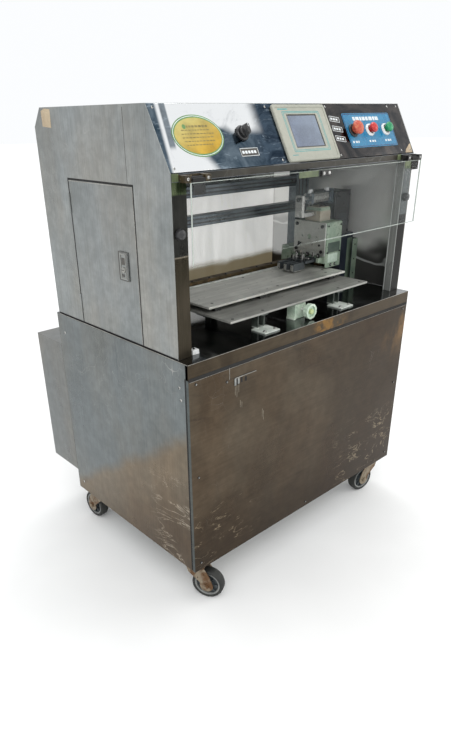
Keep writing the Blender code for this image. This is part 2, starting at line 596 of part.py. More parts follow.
def make_head():
    """The head rides the rail, pushed by an air cylinder, and carries a hinged clamp."""
    housing = block("head_housing", (HEAD_LEFT, HEAD_FRONT, HEAD_LOW), (HEAD_RIGHT, HEAD_REAR, HEAD_HIGH), CASTING, 2)
    arm = block("head_arm", (780, HEAD_REAR - 3, 100), (840, 400, 130), CASTING)
    saddle = slab("head_saddle", [(346, 60), (355.5, 60), (355.5, 83.5), (384.5, 83.5), (384.5, 60), (400, 60),
                                  (400, 110), (346, 110)], 778, 842, ALONG_X, CASTING)
    riser = block("head_riser", (772, 232, HEAD_HIGH - 2), (822, 292, 268), CASTING)
    lugs = [block(f"clamp_lug_{i}", (CLAMP_X - 5, y, CLAMP_Z - 7), (HEAD_LEFT + 2, y + 10, CLAMP_Z + 8), CASTING)
            for i, y in enumerate((212.0, 310.0))]
    pin = rod("clamp_pin", (CLAMP_X, 214, CLAMP_Z), (CLAMP_X, 318, CLAMP_Z), 3, CASTING)
    join(housing, arm, saddle, riser, *lugs, pin)

    fixings = [ring(y, z, 3.2, 12) for y in (212, 320) for z in (132, 213)]
    plate = slab("head_side_plate", rectangle(HEAD_FRONT, 118, HEAD_REAR, HEAD_HIGH), HEAD_LEFT - 5, HEAD_LEFT - GAP,
                 ALONG_X, PLATE, fixings)

    clamp = rod("bag_clamp", (CLAMP_X, 223, CLAMP_Z), (CLAMP_X, 309, CLAMP_Z), CLAMP_RADIUS, DARK)
    arm_plate = block("clamp_plate", (700, 226, CLAMP_Z - 4), (CLAMP_X, 306, CLAMP_Z + 4), DARK)
    fingers = [block(f"clamp_finger_{i}", (648, y, CLAMP_Z - 22), (702, y + 14, CLAMP_Z + 2), DARK)
               for i, y in enumerate((230.0, 259.0, 288.0))]
    bore = rod("clamp_bore", (CLAMP_X, 215, CLAMP_Z), (CLAMP_X, 317, CLAMP_Z), 3.4, DARK)
    join(clamp, arm_plate, *fingers)
    cut(clamp, bore)

    ram = rod("cylinder_rod", (705, ROD_Y, ROD_Z), (836, ROD_Y, ROD_Z), 5, PLATE)
    yoke = block("rod_yoke", (697, ROD_Y - 14, 244), (709, ROD_Y + 14, ROD_Z + 12), PLATE)
    link = block("rod_link", (698, ROD_Y - 14, 244), (771.7, ROD_Y + 14, 256), PLATE)
    join(ram, yoke, link)

    barrel = rod("air_cylinder", (742, ROD_Y, ROD_Z), (846, ROD_Y, ROD_Z), 15, PLATE, 28)
    bore_hole = rod("cylinder_bore", (730, ROD_Y, ROD_Z), (840, ROD_Y, ROD_Z), 5.5, PLATE)
    mount = block("cylinder_mount", (845, ROD_Y - 18, 275), (851.7, ROD_Y + 18, 322), PLATE)
    join(barrel, mount)
    cut(barrel, bore_hole)

    clamp_pivot_place = spot(CLAMP_X, 266, CLAMP_Z)
    slide = pivot("head_slide", spot(809, 370, 83), [housing, plate, ram])
    pivot("clamp_axis", clamp_pivot_place, [clamp], slide)


def make_column():
    """The dark drive housing on its post, fixed to the deck at the right."""
    block("drive_housing", (852, 236, 168), (937, 330, 312), DARK, 2)
    block("column_post", (906, 240, GAP), (INNER_RIGHT - GAP, 300, 167.7), CASTING)


make_base()
make_rear_housing()
make_pump()
for caster in CASTERS:
    make_caster(*caster)
make_upper()
make_service_door()
make_touch_panel()
make_controls()
make_guard()
make_table()
make_gantry()
make_head()
make_column()
for part in PARTS.objects:
    if part.type == "MESH":
        part.data.set_sharp_from_angle(angle=radians(35))
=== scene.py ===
"""The looks of the vacuum packing machine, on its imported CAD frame. Metres, +Z up, front facing -Y."""

import json
from functools import reduce
from itertools import product
from math import atan2, cos, pi, radians, sin

import bmesh
import bpy
from mathutils import Matrix, Vector


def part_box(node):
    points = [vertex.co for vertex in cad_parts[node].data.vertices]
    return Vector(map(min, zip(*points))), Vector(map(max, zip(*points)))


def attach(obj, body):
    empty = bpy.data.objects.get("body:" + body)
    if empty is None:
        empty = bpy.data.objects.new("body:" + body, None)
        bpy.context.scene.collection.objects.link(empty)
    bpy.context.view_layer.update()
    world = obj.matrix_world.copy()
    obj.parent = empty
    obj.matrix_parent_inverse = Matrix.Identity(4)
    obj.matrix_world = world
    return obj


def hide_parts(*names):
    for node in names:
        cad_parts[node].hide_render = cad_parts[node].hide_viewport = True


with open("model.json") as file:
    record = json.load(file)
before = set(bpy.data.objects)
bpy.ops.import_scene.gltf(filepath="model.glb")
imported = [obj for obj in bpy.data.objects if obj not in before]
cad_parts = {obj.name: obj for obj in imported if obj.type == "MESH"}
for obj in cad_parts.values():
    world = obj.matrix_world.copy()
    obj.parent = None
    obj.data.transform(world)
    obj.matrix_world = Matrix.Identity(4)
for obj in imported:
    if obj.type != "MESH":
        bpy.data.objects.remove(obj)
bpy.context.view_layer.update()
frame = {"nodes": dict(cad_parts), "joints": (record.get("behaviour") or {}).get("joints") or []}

MM = 0.001
X, Y, Z = range(3)
LEFT, RIGHT, FRONT, BACK = (-1, 0, 0), (1, 0, 0), (0, -1, 0), (0, 1, 0)
UP, DOWN = (0, 0, 1), (0, 0, -1)
PIECE_CREASE, CAD_CREASE = 35, 40
deck_low, deck_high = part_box("deck_plate")
ORIGIN = Vector((deck_low.x, deck_low.y, deck_high.z))  # the deck's front left corner
WIDTH = (deck_high.x - deck_low.x) / MM
FLOOR = -deck_high.z / MM
SLOPE_ANGLE = radians(60.6)
SLOPE_FRONT, SLOPE_BOTTOM = 41.0, 430.5
UPPER_SIDE = 4.0
CASTER_HEIGHT = 137
BUTTONS_AT, BUTTON_ROW = (700, 780, 860), 76.5
HANDWHEEL_CENTRE = (494.0, 30.0, 25.0)
CYLINDER_AXIS = (262.0, 298.0)
FLOOR_RADIUS = 40000
STUDIO_WHITE = (0.97, 0.985, 1.0)

# Camera and light


def make_camera():
    camera = bpy.data.objects.new("camera", bpy.data.cameras.new("camera"))
    bpy.context.scene.collection.objects.link(camera)
    heading, tilt, roll = radians(-41.96), radians(63.6), radians(-0.91)
    aim = Matrix.Rotation(heading, 4, "Z") @ Matrix.Rotation(tilt, 4, "X")
    camera.matrix_world = (Matrix.Translation((-1.349, -1.434, 1.321)) @ aim
                           @ Matrix.Rotation(roll, 4, "Z"))
    camera.data.lens = 28.77
    camera.data.shift_x = 0.0144
    camera.data.shift_y = 0.0523
    bpy.context.scene.camera = camera


def area_light(name, place, target, size, power, colour=(1, 1, 1)):
    light = bpy.data.objects.new(name, bpy.data.lights.new(name, "AREA"))
    bpy.context.scene.collection.objects.link(light)
    light.data.size = size
    light.data.energy = power
    light.data.color = colour
    light.location = place
    light.rotation_euler = (Vector(target) - Vector(place)).to_track_quat("-Z", "Y").to_euler()


# Materials


class Paint:
    """A Principled material, with short names for the nodes that vary it."""

    def __init__(self, name, **values):
        self.material = bpy.data.materials.new(name)
        self.material.use_nodes = True
        self.tree = self.material.node_tree
        self.shader = self.tree.nodes["Principled BSDF"]
        self.point = self.node("ShaderNodeTexCoord").outputs["Object"]
        split = self.node("ShaderNodeSeparateXYZ", {"Vector": self.point})
        self.x, self.y, self.z = split.outputs
        self.set(**values)

    def node(self, kind, inputs=None, **settings):
        made = self.tree.nodes.new(kind)
        for key, value in settings.items():
            setattr(made, key, value)
        for key, value in (inputs or {}).items():
            self.put(made.inputs[key], value)
        return made

    def put(self, socket, value):
        if isinstance(value, bpy.types.NodeSocket):
            self.tree.links.new(value, socket)
        elif isinstance(value, tuple) and len(value) == 3 and socket.type == "RGBA":
            socket.default_value = (*value, 1)
        else:
            socket.default_value = value

    def set(self, **values):
        for key, value in values.items():
            self.put(self.shader.inputs[key.replace("_", " ").title()], value)

    def noise(self, scale, stretch=(1, 1, 1), detail=3.0, roughness=0.55, warp=0.0, seed=0.0):
        moved = self.node("ShaderNodeMapping", {"Vector": self.point, "Scale": stretch,
                                                "Location": (seed, seed * 0.7, seed * 1.3)})
        made = self.node("ShaderNodeTexNoise", {"Vector": moved.outputs[0], "Scale": scale,
                                                "Detail": detail, "Roughness": roughness,
                                                "Distortion": warp})
        return made.outputs["Fac"]

    def cracks(self, scale, stretch, width, seed=0.0):
        """Thin lines along the borders of wobbly cells."""
        bend = self.node("ShaderNodeTexNoise", {"Vector": self.point, "Scale": scale * 0.6})
        shift = self.node("ShaderNodeVectorMath", {0: self.point, 1: bend.outputs["Color"]},
                          operation="ADD")
        moved = self.node("ShaderNodeMapping", {"Vector": shift.outputs[0], "Scale": stretch,
                                                "Location": (seed, seed, seed)})
        made = self.node("ShaderNodeTexVoronoi", {"Vector": moved.outputs[0], "Scale": scale},
                         feature="DISTANCE_TO_EDGE")
        return self.level(made.outputs["Distance"], 0.0, width, 1.0, 0.0)

    def level(self, value, low, high, start=0.0, end=1.0):
        made = self.node("ShaderNodeMapRange", {"Value": value, "From Min": low, "From Max": high,
                                                "To Min": start, "To Max": end},
                         interpolation_type="SMOOTHSTEP")
        return made.outputs[0]

    def spread(self, noise, start=0.0, end=1.0):
        """The usual range of a noise, stretched to other limits."""
        return self.level(noise, 0.3, 0.7, start, end)

    def ramp(self, axis, low, high, start=0.0, end=1.0):
        """A change between two millimetre places on an axis."""
        return self.level((self.x, self.y, self.z)[axis], at(low, axis), at(high, axis), start, end)

    def normal(self, axis):
        vector = self.node("ShaderNodeTexCoord").outputs["Normal"]
        return self.node("ShaderNodeSeparateXYZ", {"Vector": vector}).outputs[axis]

    def calc(self, operation, first, second=0.0):
        return self.node("ShaderNodeMath", {0: first, 1: second}, operation=operation).outputs[0]

    def times(self, *values):
        return reduce(lambda first, second: self.calc("MULTIPLY", first, second), values)

    def plus(self, *values):
        return reduce(lambda first, second: self.calc("ADD", first, second), values)

    def away(self, value, centre):
        """How far a value is from a centre."""
        return self.calc("ABSOLUTE", self.calc("SUBTRACT", value, centre))

    def mix(self, share, first, second, blend="MIX"):
        made = self.node("ShaderNodeMix", data_type="RGBA", blend_type=blend)
        for socket, value in zip((made.inputs[0], made.inputs[6], made.inputs[7]), (share, first, second)):
            self.put(socket, value)
        return made.outputs[2]

    def cloudy(self, noise, first, second):
        """Two colours mixed in the clouds of a noise."""
        return self.mix(self.spread(noise), first, second)

    def tint(self, colour, share):
        """The colour made darker and lighter by a value around 0.5."""
        grey = self.level(share, 0.0, 1.0, 0.0, 2.0)
        made = self.node("ShaderNodeCombineColor", {0: grey, 1: grey, 2: grey})
        return self.mix(1.0, colour, made.outputs[0], "MULTIPLY")

    def bump(self, height, distance, strength):
        made = self.node("ShaderNodeBump", {"Height": height, "Distance": distance * MM,
                                            "Strength": strength})
        self.tree.links.new(made.outputs[0], self.shader.inputs["Normal"])

    def finish(self, colour, noise, rough, bump):
        """Sets the colour, a roughness that follows a noise, and a bump: height, millimetres, strength."""
        self.set(base_color=colour, roughness=self.spread(noise, *rough))
        self.bump(*bump)
        return self.material


def at(value, axis):
    """A millimetre place on an axis from the deck's corner, as the material's coordinate."""
    return ORIGIN[axis] + value * MM


def facing_left(paint):
    """1 on faces that look towards -X."""
    return paint.level(paint.normal(X), -0.2, -0.6)


def steel(name, light, dark, grain=(4, 4, 260), seed=0.0, zones=(), fine=0.045):
    """Brushed sheet steel with cloudy handling marks, fine grain and thin scratches."""
    paint = Paint(name, metallic=0.9)
    clouds = paint.noise(3.2, detail=5.0, warp=0.6, seed=seed)
    colour = paint.mix(paint.level(clouds, 0.34, 0.68), dark, light)
    for zone in zones:
        colour = zone(paint, colour)
    lines = paint.noise(1.0, stretch=grain, detail=4.0, roughness=0.7, seed=seed)
    colour = paint.tint(colour, paint.level(lines, 0.2, 0.8, 0.5 - fine, 0.5 + fine))
    hue = paint.level(paint.noise(4.6, (1, 1, 0.4), 4.0, seed=seed + 5), 0.35, 0.65)
    colour = paint.mix(0.5, colour, paint.mix(hue, (0.53, 0.49, 0.45), (0.46, 0.5, 0.54)), "OVERLAY")
    spots = paint.noise(38.0, detail=4.0, seed=seed + 3)
    colour = paint.tint(colour, paint.level(spots, 0.3, 0.75, 0.46, 0.53))
    scratches = paint.cracks(7.0, (1.0, 2.2, 0.6), 0.006, seed)
    patches = paint.level(paint.noise(2.3, seed=seed + 7), 0.5, 0.66)
    scratches = paint.times(scratches, patches)
    colour = paint.mix(paint.times(scratches, 0.35), colour, (0.62, 0.6, 0.56))
    return paint.finish(colour, clouds, (0.25, 0.42), (paint.plus(paint.times(lines, 0.12), clouds), 1.2,
                                                       0.35))


def worn(name, colour, other, rough=0.45, metallic=0.0, scale=30.0, amount=(0.35, 0.7), bump=0.15,
         speck=None, grain=0.06):
    """A small part's finish: two tones in blotches, fine specks and a slight texture."""
    paint = Paint(name, metallic=metallic)
    blotch = paint.noise(scale, detail=5.0, warp=0.4)
    fine = paint.noise(scale * 12, detail=2.0)
    made = paint.mix(paint.level(blotch, *amount), colour, other)
    made = paint.tint(made, paint.level(fine, 0.25, 0.75, 0.5 - grain, 0.5 + grain))
    if speck:
        dots = paint.level(paint.noise(scale * 4, detail=1.0, seed=5.0), 0.66, 0.74)
        made = paint.mix(dots, made, speck)
    paint.set(base_color=made, roughness=paint.spread(blotch, max(rough - 0.08, 0.03), rough + 0.12))
    paint.bump(fine, bump, 0.4)
    return paint.material


def ground_reflection_and_rub(paint, colour):
    """The lower part of the left side is painted brown below a slanting line, a painted reflection of the
    ground, and rubbed in front.
    """
    slant = 0.651
    edge = paint.calc("MULTIPLY_ADD", paint.y, -slant)
    edge.node.inputs[2].default_value = at(-208, Z) + slant * at(10, Y)
    height = paint.calc("SUBTRACT", paint.z, edge)
    wobble = paint.spread(paint.noise(6.0, detail=4.0, seed=11), -0.012, 0.012)
    height = paint.plus(height, wobble)
    # Below the slant: a painted reflection of the ground, darker lower down
    brown = paint.mix(paint.level(height, -0.35, -0.02), (0.105, 0.074, 0.048), (0.175, 0.138, 0.096))
    colour = paint.mix(paint.level(height, -0.028, 0.032), brown, colour)
    corner = paint.times(paint.ramp(Y, 230, 90), paint.ramp(Z, -330, -400))
    ridge = paint.away(paint.noise(6.0, (1, 0.7, 2.2), 6.0, 0.6, 1.6, 4), 0.5)
    rub = paint.level(ridge, 0.016, 0.005)
    rub = paint.times(rub, paint.level(paint.noise(9.0, (1, 1, 1.6), seed=2), 0.44, 0.54))
    share = paint.times(rub, corner, 0.7)
    return paint.mix(share, colour, (0.46, 0.39, 0.3))


def front_stains_and_reflection(paint, colour):
    """Rust at the cover's top right, dark smears below its top edge, scuffs near the floor, a lighter band
    across the middle that is painted reflection, and darker towards the right and the bottom.
    """
    rust = paint.times(paint.ramp(X, 820, 960), paint.ramp(Z, -260, -90))
    rust = paint.times(rust, paint.level(paint.noise(16.0, (1, 1, 0.5), 5.0, seed=1), 0.45, 0.62))
    smear = paint.level(paint.noise(5.0, (1.2, 1, 4.0), 6.0, 0.65, 1.2, seed=8), 0.56, 0.68)
    smear = paint.times(smear, paint.ramp(Z, -330, -120))
    colour = paint.mix(paint.times(smear, 0.6), colour, (0.045, 0.033, 0.024))
    # A lighter band across the middle: painted reflection of the ground
    glow = paint.times(paint.level(paint.noise(3.4, (1, 1, 0.7), 3.0, seed=21), 0.4, 0.66),
                       paint.times(paint.ramp(Z, -520, -330), paint.ramp(Z, -150, -260)))
    colour = paint.mix(paint.times(glow, 0.35), colour, (0.15, 0.118, 0.082))
    colour = paint.mix(paint.ramp(X, 330, 820, 0.0, 0.85), colour, (0.034, 0.021, 0.011))
    low = paint.ramp(Z, -430, -640)
    colour = paint.mix(paint.times(low, 0.7), colour, (0.034, 0.022, 0.013))
    ridge = paint.away(paint.noise(7.0, (0.7, 1, 2.0), 6.0, 0.6, 1.4, 6), 0.5)
    nicks = paint.level(ridge, 0.012, 0.004)
    right = paint.times(paint.ramp(X, 560, 760), paint.ramp(Z, -380, -470))
    left = paint.times(paint.ramp(X, 300, 120), paint.ramp(Z, -400, -500))
    where_worn = paint.times(paint.calc("MAXIMUM", right, left),
                             paint.level(paint.noise(13.0, seed=12), 0.45, 0.58))
    share = paint.times(nicks, where_worn, 0.8)
    colour = paint.mix(share, colour, (0.3, 0.24, 0.16))
    return paint.mix(rust, colour, (0.17, 0.092, 0.032))


def return_face(paint, colour):
    """Where it faces left, the cover's folded edge is a plainer grey: its painted reflection differs from
    the front's painted ground reflection.
    """
    return paint.mix(facing_left(paint), colour, (0.085, 0.095, 0.092))


def lip_stains(paint, colour):
    """Rust near the middle of the deck's front lip."""
    spot_x = paint.times(paint.ramp(X, 460, 520), paint.ramp(X, 660, 560))
    rust = paint.times(spot_x, paint.level(paint.noise(30.0, seed=3), 0.4, 0.6))
    return paint.mix(rust, colour, (0.2, 0.11, 0.035))


def deck_look():
    """The deck is a dark mirror on top, and dull steel on its front lip, painted brown as a reflection of
    the ground, with a rusty spot.
    """
    paint = Paint("deck", metallic=1.0)
    top = paint.ramp(Z, -1.5, -0.5)
    clouds = paint.noise(9.0, detail=5.0, warp=0.5)
    # The lip's brown is a painted reflection of the ground
    lip = paint.cloudy(clouds, (0.043, 0.033, 0.023), (0.078, 0.06, 0.04))
    lip = lip_stains(paint, lip)
    mirror = paint.mix(paint.level(clouds, 0.35, 0.7), (0.1, 0.105, 0.11), (0.2, 0.205, 0.205))
    grain = paint.noise(1.0, (3, 3, 500), 4.0)
    colour = paint.tint(paint.mix(top, lip, mirror), paint.level(grain, 0.2, 0.8, 0.44, 0.56))
    low = paint.spread(clouds, 0.08, 0.2)
    dull = paint.level(top, 0, 1, 0.26, 0.0)
    paint.set(base_color=colour, roughness=paint.plus(low, dull))
    paint.bump(clouds, 0.6, 0.2)
    return paint.material


def slope_look():
    """The polished slope, painted with a reflection of the sky: blue with lighter streaks, white glare at
    its upper left and dark grey at its right.
    """
    paint = Paint("polished_slope", metallic=1.0)
    swirl = paint.noise(9.0, (1, 1, 1), 8.0, 0.72, 2.2, seed=2)
    streak = paint.noise(14.0, (1.0, 0.5, 5.0), 6.0, 0.7, 1.5, seed=6)
    # Painted reflection of the sky: mottled blue, white glare, and dark grey at the right
    sky_mottle = paint.level(swirl, 0.34, 0.66)
    dark = paint.mix(sky_mottle, (0.007, 0.018, 0.034), (0.055, 0.085, 0.12))
    pale = paint.mix(sky_mottle, (0.035, 0.06, 0.085), (0.13, 0.17, 0.205))
    blue = paint.mix(paint.ramp(X, 250, 330), pale, dark)
    blue = paint.mix(paint.times(paint.level(streak, 0.54, 0.68), 0.8), blue, (0.27, 0.33, 0.38))
    drift = paint.spread(paint.noise(5.0, detail=3.0, seed=4), -0.018, 0.018)
    height = paint.plus(paint.z, drift)
    lean, tilt = 0.9, -0.12
    along = paint.plus(paint.x, drift, paint.times(paint.z, lean))
    band = paint.times(paint.level(height, at(512, Z), at(530, Z)), paint.ramp(X, 345, 300))
    corner = at(118, X) + lean * at(450, Z)
    share = paint.calc("MAXIMUM", band, paint.level(along, corner + 0.022, corner - 0.018))
    share = paint.times(share, paint.level(swirl, 0.25, 0.5, 0.75, 1.0))
    edge = paint.plus(paint.x, paint.times(paint.z, tilt))
    start = at(0, X) + tilt * at(500, Z)
    share = paint.times(share, paint.level(edge, start + 0.016, start + 0.026))
    arc = paint.away(edge, start + 0.04)
    arc = paint.times(paint.level(arc, 0.011, 0.006), paint.level(height, at(455, Z), at(475, Z)))
    share = paint.times(share, paint.calc("SUBTRACT", 1.0, paint.times(arc, 0.85)))
    colour = paint.mix(share, blue, (0.86, 0.87, 0.87))
    right = paint.mix(paint.level(swirl, 0.35, 0.7), (0.028, 0.03, 0.033), (0.085, 0.075, 0.07))
    colour = paint.mix(paint.ramp(X, 585, 600), colour, right)
    return paint.finish(colour, swirl, (0.08, 0.2), (swirl, 0.5, 0.25))


def post_look(name):
    """A front post: dark above and browner below the guard, with olive tape at the very top.

    The right one has a painted highlight along its outer edge, and its polished flange is painted pale as a
    reflection, with painted highlight lines."""
    paint = Paint(name, metallic=0.85)
    clouds = paint.noise(8.0, (3, 3, 1), 5.0, seed=1)
    upper = paint.cloudy(clouds, (0.014, 0.014, 0.012), (0.028, 0.028, 0.025))
    lower = paint.cloudy(clouds, (0.022, 0.018, 0.01), (0.048, 0.039, 0.026))
    above = paint.ramp(Z, 247, 250)
    colour = paint.mix(above, lower, upper)
    seam = paint.times(paint.ramp(Z, 246, 248.5), paint.ramp(Z, 251.5, 249))
    colour = paint.mix(paint.times(seam, 0.5), colour, (0.3, 0.26, 0.2))
    tape = paint.cloudy(paint.noise(60.0, (3, 3, 0.5)), (0.03, 0.046, 0.018), (0.095, 0.118, 0.06))
    colour = paint.mix(paint.ramp(Z, 383, 388), colour, tape)
    right = paint.ramp(X, 500, 600)
    front = paint.mix(above, (0.008, 0.007, 0.006), (0.07, 0.078, 0.078))
    front = paint.mix(paint.ramp(X, 970, 974), front, (0.1, 0.085, 0.065))
    # A painted highlight along the right post's outer edge
    front = paint.mix(paint.ramp(X, 974.5, 975.5), front, (0.42, 0.42, 0.39))
    colour = paint.mix(paint.times(right, paint.ramp(Z, 388, 383)), colour, front)
    # The flange's pale grey and light lines are a painted reflection, on a dull pale surface
    flange = paint.times(facing_left(paint), right)
    line = paint.calc("PINGPONG", paint.calc("SUBTRACT", paint.y, at(42, Y)), 0.013)
    polished = paint.mix(paint.level(line, 0.0016, 0.0006), (0.17, 0.175, 0.165), (0.5, 0.52, 0.5))
    colour = paint.mix(flange, colour, polished)
    grain = paint.noise(1.0, (420, 420, 4), 4.0)
    colour = paint.tint(colour, paint.level(grain, 0.2, 0.8, 0.42, 0.58))
    paint.set(base_color=colour, roughness=paint.spread(clouds, 0.25, 0.42),
              metallic=paint.level(flange, 0.0, 1.0, 0.85, 0.1))
    paint.bump(grain, 0.2, 0.3)
    return paint.material


def mirror_look(name, light, dark, rough, seed):
    """Polished sheet, a little cloudy and wavy."""
    paint = Paint(name, metallic=1.0)
    clouds = paint.noise(7.0, (1, 1, 1), 6.0, 0.6, 0.6, seed=seed)
    colour = paint.cloudy(clouds, dark, light)
    spots = paint.noise(90.0, detail=3.0, seed=seed)
    colour = paint.tint(colour, paint.level(spots, 0.3, 0.8, 0.45, 0.53))
    return paint.finish(colour, clouds, rough, (paint.noise(4.0, detail=1.0, seed=seed), 1.5, 0.3))


STEEL_LIGHT, STEEL_DARK = (0.292, 0.3, 0.29), (0.225, 0.232, 0.222)


def two_faced_wall():
    """The right wall: brushed outside, and polished towards the chamber, where it is painted with a
    reflection of the light sheet: bright above, painted shade below with a light streak, and a painted glow
    low near the back.
    """
    paint = Paint("right_wall", metallic=1.0)
    inner = facing_left(paint)
    clouds = paint.noise(3.2, detail=5.0, warp=0.6, seed=31)
    outside = paint.mix(paint.level(clouds, 0.34, 0.68), STEEL_DARK, STEEL_LIGHT)
    grain = paint.noise(1.0, (4, 260, 4), 4.0, 0.7)
    outside = paint.tint(outside, paint.level(grain, 0.2, 0.8, 0.43, 0.57))
    wave = paint.spread(paint.noise(6.0, (1, 1, 1.5), 2.0, seed=7), -0.028, 0.028)
    height = paint.plus(paint.z, wave, paint.times(paint.y, -0.18))
    # Painted reflection on the inner face: bright above, dark painted shade below
    bright = paint.cloudy(clouds, (0.5, 0.5, 0.48), (0.72, 0.72, 0.69))
    shade = paint.level(height, at(150, Z), at(205, Z))
    inside = paint.mix(shade, (0.055, 0.055, 0.052), bright)
    # A painted light streak in the reflection
    streak = paint.away(height, at(138, Z))
    inside = paint.mix(paint.level(streak, 0.008, 0.002), inside, (0.4, 0.41, 0.4))
    rough = paint.level(inner, 0, 1, 0.34, 0.3)
    # A painted glow low near the back of the inner face
    back = paint.times(inner, paint.ramp(Y, 485, 515), paint.level(height, at(20, Z), at(50, Z), 0.0, 0.42))
    paint.set(base_color=paint.mix(inner, outside, inside), metallic=paint.level(inner, 0, 1, 1.0, 0.45),
              emission_color=(0.62, 0.62, 0.6), emission_strength=back,
              roughness=paint.plus(rough, paint.spread(clouds, -0.03, 0.06)))
    paint.bump(paint.noise(4.0, detail=1.0), 1.5, 0.3)
    return paint.material


def column_look():
    """The column: green low down in front, and in dark shade towards the head and above."""
    paint = Paint("column", metallic=0.1)
    blotch = paint.noise(26.0, detail=4.0)
    green = paint.cloudy(blotch, (0.13, 0.18, 0.135), (0.2, 0.255, 0.19))
    navy = paint.cloudy(blotch, (0.012, 0.016, 0.026), (0.024, 0.03, 0.044))
    shade = paint.calc("MAXIMUM", facing_left(paint), paint.ramp(X, 943, 942))
    shade = paint.calc("MAXIMUM", shade, paint.ramp(Z, 150, 151))
    return paint.finish(paint.mix(shade, green, navy), blotch, (0.35, 0.5), (blotch, 0.3, 0.3))


def table_look(name, light, dark):
    """Machined aluminium with wiping streaks along its length, dark nicks, and shade between the plates."""
    paint = Paint(name, metallic=0.35)
    streak = paint.noise(1.0, (4, 60, 60), 6.0, 0.65, 0.4)
    clouds = paint.noise(9.0, detail=5.0, warp=0.4)
    colour = paint.cloudy(streak, dark, light)
    colour = paint.tint(colour, paint.spread(clouds, 0.43, 0.56))
    nicks = paint.level(paint.noise(70.0, detail=1.0, seed=9), 0.72, 0.77)
    colour = paint.mix(nicks, colour, (0.03, 0.03, 0.028))
    under = paint.times(paint.ramp(Z, 55.2, 55.25), paint.ramp(Z, 68.9, 68.8))
    colour = paint.mix(under, colour, (0.02, 0.021, 0.02))
    return paint.finish(colour, clouds, (0.3, 0.5), (streak, 0.15, 0.3))


def leg_look():
    """Table legs: pale painted feet and dark webs."""
    paint = Paint("table_legs", metallic=0.1)
    clouds = paint.noise(40.0, detail=4.0)
    pale = paint.cloudy(clouds, (0.48, 0.53, 0.47), (0.72, 0.76, 0.7))
    dark = paint.cloudy(clouds, (0.02, 0.028, 0.024), (0.085, 0.1, 0.085))
    colour = paint.mix(paint.ramp(Z, 4, 8), pale, dark)
    return paint.finish(colour, clouds, (0.35, 0.55), (clouds, 0.2, 0.3))


def opal_look():
    """The light sheet behind the chamber, faintly streaked, with a painted glow towards the chamber that
    grows to the right, and grime along its foot.
    """
    paint = Paint("opal_sheet", metallic=0.0, roughness=0.35)
    streak = paint.noise(1.0, (28, 28, 2), 4.0, 0.6)
    clouds = paint.noise(5.0, detail=5.0, warp=0.8)
    colour = paint.cloudy(streak, (0.64, 0.64, 0.615), (0.76, 0.755, 0.73))
    colour = paint.tint(colour, paint.spread(clouds, 0.45, 0.54))
    wave = paint.spread(paint.noise(3.0, (1, 1, 1), 3.0), -0.012, 0.012)
    foot = paint.level(paint.plus(paint.z, wave), at(66, Z), at(34, Z))
    colour = paint.mix(paint.times(foot, 0.9), colour, (0.12, 0.088, 0.03))
    # Painted glow: the sheet shines on the chamber side, more towards the right
    inward = paint.level(paint.normal(Y), 0.0, -0.5, 0.12, 1.0)
    strength = paint.times(inward, paint.ramp(X, 150, 520, 0.36, 0.66))
    paint.set(base_color=colour, emission_color=colour, emission_strength=strength)
    paint.bump(streak, 0.1, 0.2)
    return paint.material


def acrylic_look():
    """Clear acrylic with a thin haze, fine scratches and smears that catch the light."""
    paint = Paint("acrylic", metallic=0.0, base_color=(0.34, 0.38, 0.37))
    haze = paint.noise(5.0, (1, 1, 1), 6.0, 0.6, 1.0)
    scratch = paint.cracks(30.0, (1.0, 1.0, 0.35), 0.012)
    scratch = paint.times(scratch, paint.level(paint.noise(6.0, seed=3), 0.48, 0.6, 0.0, 0.14))
    cover = paint.plus(paint.level(haze, 0.35, 0.75, 0.012, 0.06), scratch)
    paint.set(alpha=cover, roughness=paint.spread(haze, 0.05, 0.14))
    return paint.material


def pane_edge_look():
    """The pane's polished edge: clear at the left, and pale green where it catches the light."""
    paint = Paint("pane_edge", metallic=0.0, roughness=0.2)
    patchy = paint.noise(9.0, detail=3.0)
    colour = paint.cloudy(patchy, (0.34, 0.38, 0.34), (0.52, 0.57, 0.52))
    low = paint.ramp(Z, 236, 231)
    clear = paint.times(low, paint.ramp(X, 560, 420))
    paint.set(base_color=colour, alpha=paint.level(clear, 0.0, 1.0, 0.85, 0.1))
    paint.bump(patchy, 0.2, 0.2)
    return paint.material


def lcd_look():
    """The dead screen: grey blue with a soft sheen from corner to corner."""
    paint = Paint("lcd_glass", metallic=0.0, coat_weight=0.6, coat_roughness=0.08)
    slant = paint.plus(paint.times(paint.x, 6.0), paint.times(paint.z, 5.0))
    wave = paint.calc("SINE", slant)
    cloud = paint.noise(18.0, detail=3.0)
    colour = paint.mix(paint.level(wave, -1.0, 1.0), (0.1, 0.125, 0.19), (0.155, 0.19, 0.24))
    colour = paint.tint(colour, paint.spread(cloud, 0.44, 0.56))
    dots = paint.noise(900.0, detail=0.0)
    return paint.finish(colour, dots, (0.18, 0.3), (dots, 0.05, 0.2))


def notice_look():
    """The notice's paper: cream at its top, orange yellow at its lower right."""
    paint = Paint("notice_yellow", metallic=0.0)
    across, down = 3.4, -8.5
    slide = paint.plus(paint.times(paint.x, across), paint.times(paint.z, down))
    start = across * at(60, X) + down * at(535, Z)
    share = paint.level(slide, start, start + 0.95)
    colour = paint.mix(share, (0.38, 0.33, 0.11), (0.42, 0.25, 0.008))
    cloud = paint.noise(24.0, detail=4.0)
    colour = paint.tint(colour, paint.spread(cloud, 0.43, 0.56))
    return paint.finish(colour, cloud, (0.25, 0.4), (cloud, 0.05, 0.2))


